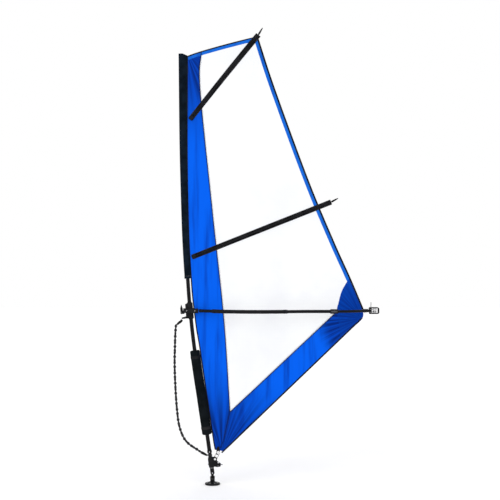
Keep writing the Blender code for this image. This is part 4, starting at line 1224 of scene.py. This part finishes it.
ARM_RADIUS = 0.0145
ARM_WALL = 0.0017
ARM_ROUTE = [
    (-0.1195, 0.0480), (-0.0950, 0.0500), (-0.040, 0.0820), (0.100, 0.1600), (0.300, 0.2120),
    (0.500, 0.2140), (0.700, 0.1800), (0.800, 0.1590), (0.900, 0.1505), (0.960, 0.1500),
    (1.020, 0.1500), (1.080, 0.1500),
]
TAIL_ROUTE = [
    (0.930, 0.1500), (1.000, 0.1500), (1.080, 0.1500), (1.135, 0.1500), (1.200, 0.1400),
    (1.300, 0.0980), (1.375, 0.0580), (1.405, 0.0490),
]
TAIL_RADIUS = ARM_RADIUS - ARM_WALL - 0.0006
GRIP_RADIUS = 0.0170
GRIP_BORE = 0.0150
GRIP_SHARES = (2 / 18, 12 / 18)
GRIP_GROOVE = 0.0085
UP = (0, 0, 1)


def flat_route(route, side, count):
    return smooth_curve([(x, side * y, BOOM_Z) for x, y in route], count)


def make_grip(label, side):
    """A foam grip with ring grooves and taped ends."""
    fine = flat_route(ARM_ROUTE, side, 900)
    path = fine[int(GRIP_SHARES[0] * 900) : int(GRIP_SHARES[1] * 900) + 1 : 2]
    step = (path[1] - path[0]).length
    outer = []
    for i in range(len(path)):
        groove = max(0.0, math.cos(2 * math.pi * i * step / GRIP_GROOVE)) ** 4
        end = min(i, len(path) - 1 - i) * step
        outer.append(GRIP_RADIUS - 0.0008 * groove * min(1, end / 0.03) - 0.0012 * fade(end, 0.0, 0.004))
    grip = hollow_tube("grip", path, outer, [GRIP_BORE] * len(path), MATERIALS["foam"], 30, UP)
    parts = [grip]
    for at in (8, len(path) - 9):
        rows = path[at - 6 : at + 7]
        radii = [GRIP_RADIUS + 0.0005] * len(rows)
        bore = [GRIP_BORE] * len(rows)
        parts.append(hollow_tube("tape", rows, radii, bore, MATERIALS["black_tape"], 30, UP))
    finished(joined(f"grip_{label}", parts), "boom", "pad_foam", f"boom_grip_{label}")


def make_arms():
    for label, side in (("near", -1), ("far", 1)):
        rows = flat_route(ARM_ROUTE, side, 180)
        outer = [ARM_RADIUS] * len(rows)
        inner = [ARM_RADIUS - ARM_WALL] * len(rows)
        arm = hollow_tube(f"arm_{label}", rows, outer, inner, MATERIALS["alloy"], 36, UP)
        finished(arm, "boom", "anodised_black", f"boom_arm_{label}")
        make_grip(label, side)
        line = flat_route(TAIL_ROUTE, side, 110)
        parts = [tube(f"tail_{label}", line, round_section(TAIL_RADIUS), MATERIALS["alloy"], 32, UP)]
        for k in range(8):
            place = (0.945 + 0.025 * k, side * (0.150 + TAIL_RADIUS - 0.0001), BOOM_Z)
            hole = [(0.0034, 0.0), (0.0034, 0.0002), (0.0028, 0.0003), (0.0002, 0.0001)]
            parts.append(turned("hole", hole, place, (0, side, 0), MATERIALS["rubber"], 20))
        finished(joined(f"tail_arm_{label}", parts), "boom_tail", "anodised_black", f"tail_tube_{label}")


# ---------------------------------------------------------------- hardware

BODY_OF = {node: body for body, nodes in frame["record"]["behaviour"]["bodies"].items() for node in nodes}
SLOT_OF = {part["node"]: part["material_slot"] for part in frame["record"]["subparts"]}

# Each fitting's edge radius and material.
FITTINGS = {
    "mast_cap": (0.0015, "black_plastic"),
    "foot_yoke": (0.0012, "black_plastic"),
    "mast_yoke": (0.0012, "black_plastic"),
    "extension_head": (0.0010, "black_plastic"),
    "extension_collar": (0.0010, "gloss_plastic"),
    "clamp_body": (0.0014, "black_plastic"),
    "boom_head": (0.0018, "black_plastic"),
    "clamp_lever": (0.0008, "gloss_plastic"),
    "boom_clip_near": (0.0009, "black_plastic"),
    "boom_clip_far": (0.0009, "black_plastic"),
    "tail_head": (0.0014, "black_plastic"),
    "clip_lever_near": (0.0005, "grey_plastic"),
    "clip_lever_far": (0.0005, "grey_plastic"),
    "release_button": (0.0008, "grey_plastic"),
    "joint_link": (0.0020, "rubber"),
    "clam_cleat": (0.0005, "alloy"),
    "tack_block": (0.0006, "black_plastic"),
    "batten_lower": (0.0004, "carbon"),
    "batten_upper": (0.0004, "carbon"),
    "clamp_liner": (0.0006, "rubber"),
}
STEEL_PINS = ("foot_pivot_pin", "mast_pivot_pin", "mast_pin", "downhaul_axle", "collar_pin", "tack_pin",
              "lever_pin", "outhaul_axle")


def make_fittings():
    for node, (width, mat) in FITTINGS.items():
        piece = rounded(node, width)
        piece.data.materials.append(MATERIALS[mat])
        finished(piece, BODY_OF[node], SLOT_OF[node], node)
    for node in STEEL_PINS:
        NODES[node].material_slots[0].material = MATERIALS["steel"]


def sheave(name, radius, half, bore, place, axis, node):
    """A grooved wheel with a raised hub and a ring of lightening dimples."""
    groove = radius - 0.003
    profile = [(bore, -half), (0.45 * radius, -half), (0.50 * radius, -half + 0.0006)]
    profile += [(0.80 * radius, -half + 0.0006), (0.84 * radius, -half), (radius - 0.0003, -half)]
    profile += [(radius, -half + 0.0003), (groove + 0.0008, -half + 0.0012), (groove, -0.35 * half)]
    mirror = [(r, -h) for r, h in reversed(profile)]
    wheel = turned(name, profile + mirror, place, axis, MATERIALS["white_plastic"], 56, bored=True)
    finished(wheel, BODY_OF[node], "sheave_white", node)


def make_sheaves():
    for label, side in (("near", -1), ("far", 1)):
        place = raked(SHEAVE_PLACE[0], side * SHEAVE_OFFSET, SHEAVE_PLACE[1])
        sheave(f"downhaul_wheel_{label}", SHEAVE_RADIUS, SHEAVE_HALF_WIDTH, SHEAVE_BORE, place, (0, 1, 0),
               f"downhaul_sheave_{label}")
    place = (ROLLER_PLACE[0], 0, ROLLER_PLACE[1])
    sheave("tack_wheel", ROLLER_RADIUS, SHEAVE_HALF_WIDTH, SHEAVE_BORE, place, (0, 1, 0), "tack_roller")
    for label, side in (("upper", 1), ("lower", -1)):
        place = (TAIL_SHEAVE_X, 0, BOOM_Z + side * TAIL_SHEAVE_OFFSET)
        sheave(f"outhaul_wheel_{label}", TAIL_SHEAVE_RADIUS, TAIL_SHEAVE_HALF, TAIL_SHEAVE_BORE, place,
               (0, 0, 1), f"outhaul_sheave_{label}")


def make_caps():
    """White washers on the ends of the tack block's and the downhaul sheaves' axles."""
    half, white = CAP_HALF_WIDTH, MATERIALS["white_plastic"]
    for name, ((x, y, z), radius, bore) in CAPS.items():
        profile = [(bore, -half), (0.86 * radius, -half), (radius, -0.4 * half), (radius, 0.4 * half)]
        profile += [(0.86 * radius, half), (0.62 * radius, half * 0.7), (bore, half)]
        spots = [(x, side * y, z) for side in (-1, 1)]
        parts = [turned(name, profile, spot, (0, 1, 0), white, 48, bored=True) for spot in spots]
        finished(joined(f"{name}s", parts), "rig", "sheave_white")


def make_foot():
    """The ribbed foot disc and the rubber pad under it."""
    profile = [(0.002, 0.0043), (0.0672, 0.0043), (0.0680, 0.0052), (0.0690, 0.0080), (0.0684, 0.0110)]
    profile += [(0.0662, 0.0140), (0.0600, 0.0158), (0.0590, 0.0150), (0.0570, 0.0150), (0.0560, 0.0170)]
    profile += [(0.0460, 0.0200), (0.0350, 0.0232), (0.0280, 0.0258), (0.0245, 0.0285), (0.0225, 0.0299)]
    profile += [(0.0092, 0.0300), (0.0090, 0.0305), (0.0090, 0.0405), (0.0084, 0.0410), (0.0006, 0.0410)]
    parts = [turned("disc", profile, (0, 0, 0), UP, MATERIALS["black_plastic"], 96)]
    for k in range(8):
        turn = 2 * math.pi * (k + 0.5) / 8
        out = Vector((math.cos(turn), math.sin(turn), 0))
        parts.append(screw(out * 0.0505 + Vector((0, 0, 0.0183)), (0.28 * out.x, 0.28 * out.y, 1), 0.0032))
    finished(joined("foot_base", parts), "foot", "moulded_black", "foot_disc")
    profile = [(0.001, 0.0), (0.0640, 0.0), (0.0655, 0.0006), (0.0660, 0.0014), (0.0652, 0.0020)]
    profile += [(0.0660, 0.0027), (0.0660, 0.0036), (0.0655, 0.0040), (0.001, 0.0040)]
    pad = turned("foot_tread", profile, (0, 0, 0), UP, MATERIALS["rubber"], 96)
    finished(pad, "foot", "rubber_black", "foot_pad")


STRAP_FOOT = 0.150
STRAP_WIDTH = 0.022


def make_extension():
    """The smooth alloy tube and the webbing strap of the uphaul round it."""
    low, high = raked(0, 0, 0.046), raked(0, 0, 0.420)
    rows = [low.lerp(high, k / 40) for k in range(41)]
    bore = hollow_tube("extension_shaft", rows, [0.0142] * 41, [0.0120] * 41, MATERIALS["alloy"], 40)
    finished(bore, "rig", "anodised_black", "extension_tube")
    bulge = [0.0180, 0.0194, 0.0195, 0.0190, 0.0195, 0.0194, 0.0180]
    rows = [raked(0, 0, height) for height in even(STRAP_FOOT, STRAP_FOOT + STRAP_WIDTH, 6)]
    strap = hollow_tube("strap_band", rows, bulge, [0.0146] * 7, MATERIALS["webbing"], 40)
    parts = [strap]
    for share in (0.2, 0.8):
        centre = raked(0, 0, STRAP_FOOT + STRAP_WIDTH * share)
        ring = []
        for k in range(61):
            turn = 2 * math.pi * k / 60
            flick = 0.0006 if k % 2 else -0.0006
            ring.append(centre + 0.0197 * (RAKE_SIDE * math.cos(turn) + Vector((0, 1, 0)) * math.sin(turn))
                        + RAKE_AXIS * flick)
        parts.append(rope_tube("strap_thread", ring, 0.0004, MATERIALS["grey_thread"], 5))
    finished(joined("strap_webbing", parts), "rig", "sleeve_black", "uphaul_strap")


def make_clew():
    """The pressed ring at the clew."""
    low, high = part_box("clew_ring")
    centre = (low + high) / 2
    radius = (high.z - low.z) / 2
    bar = (high.y - low.y) / 2
    profile = []
    for turn in circle(16):
        profile.append((radius - bar + bar * math.cos(turn), bar * math.sin(turn)))
    ring = turned("clew_eye", profile, centre, (0, 1, 0), MATERIALS["steel"], 48, bored=True, angle=80)
    finished(ring, "rig", "stainless_steel", "clew_ring")


def make_screws():
    """Screws in the clamp's fork, the tail's casting and the extension's bracket."""
    head, tail, foot = [], [], []
    for side in (-1, 1):
        for x, y in ((-0.1560, 0.0570), (-0.2300, 0.0482)):
            head.append(screw((x, side * y, BOOM_Z), (0, side, 0), 0.0042))
        for height in (0.012, -0.012):
            tail.append(screw((1.4190, side * 0.0630, BOOM_Z + height), (0, side, 0), 0.0030))
        for x, z in ((0.060, 0.056), (0.046, 0.131)):
            foot.append(screw(raked(x, side * 0.0135, z), (0, side, 0), 0.0026))
    finished(joined("boom_head_screws", head), "boom", "stainless_steel")
    finished(joined("tail_head_screws", tail), "boom_tail", "stainless_steel")
    finished(joined("bracket_screws", foot), "rig", "stainless_steel")


make_studio()
make_uphaul()
make_downhaul()
make_outhaul()
make_mast()
make_sail()
for batten in BATTENS:
    make_pocket(batten)
    make_pocket_end(batten)
make_sleeve()
make_pad()
make_arms()
make_fittings()
make_sheaves()
make_caps()
make_foot()
make_extension()
make_clew()
make_screws()
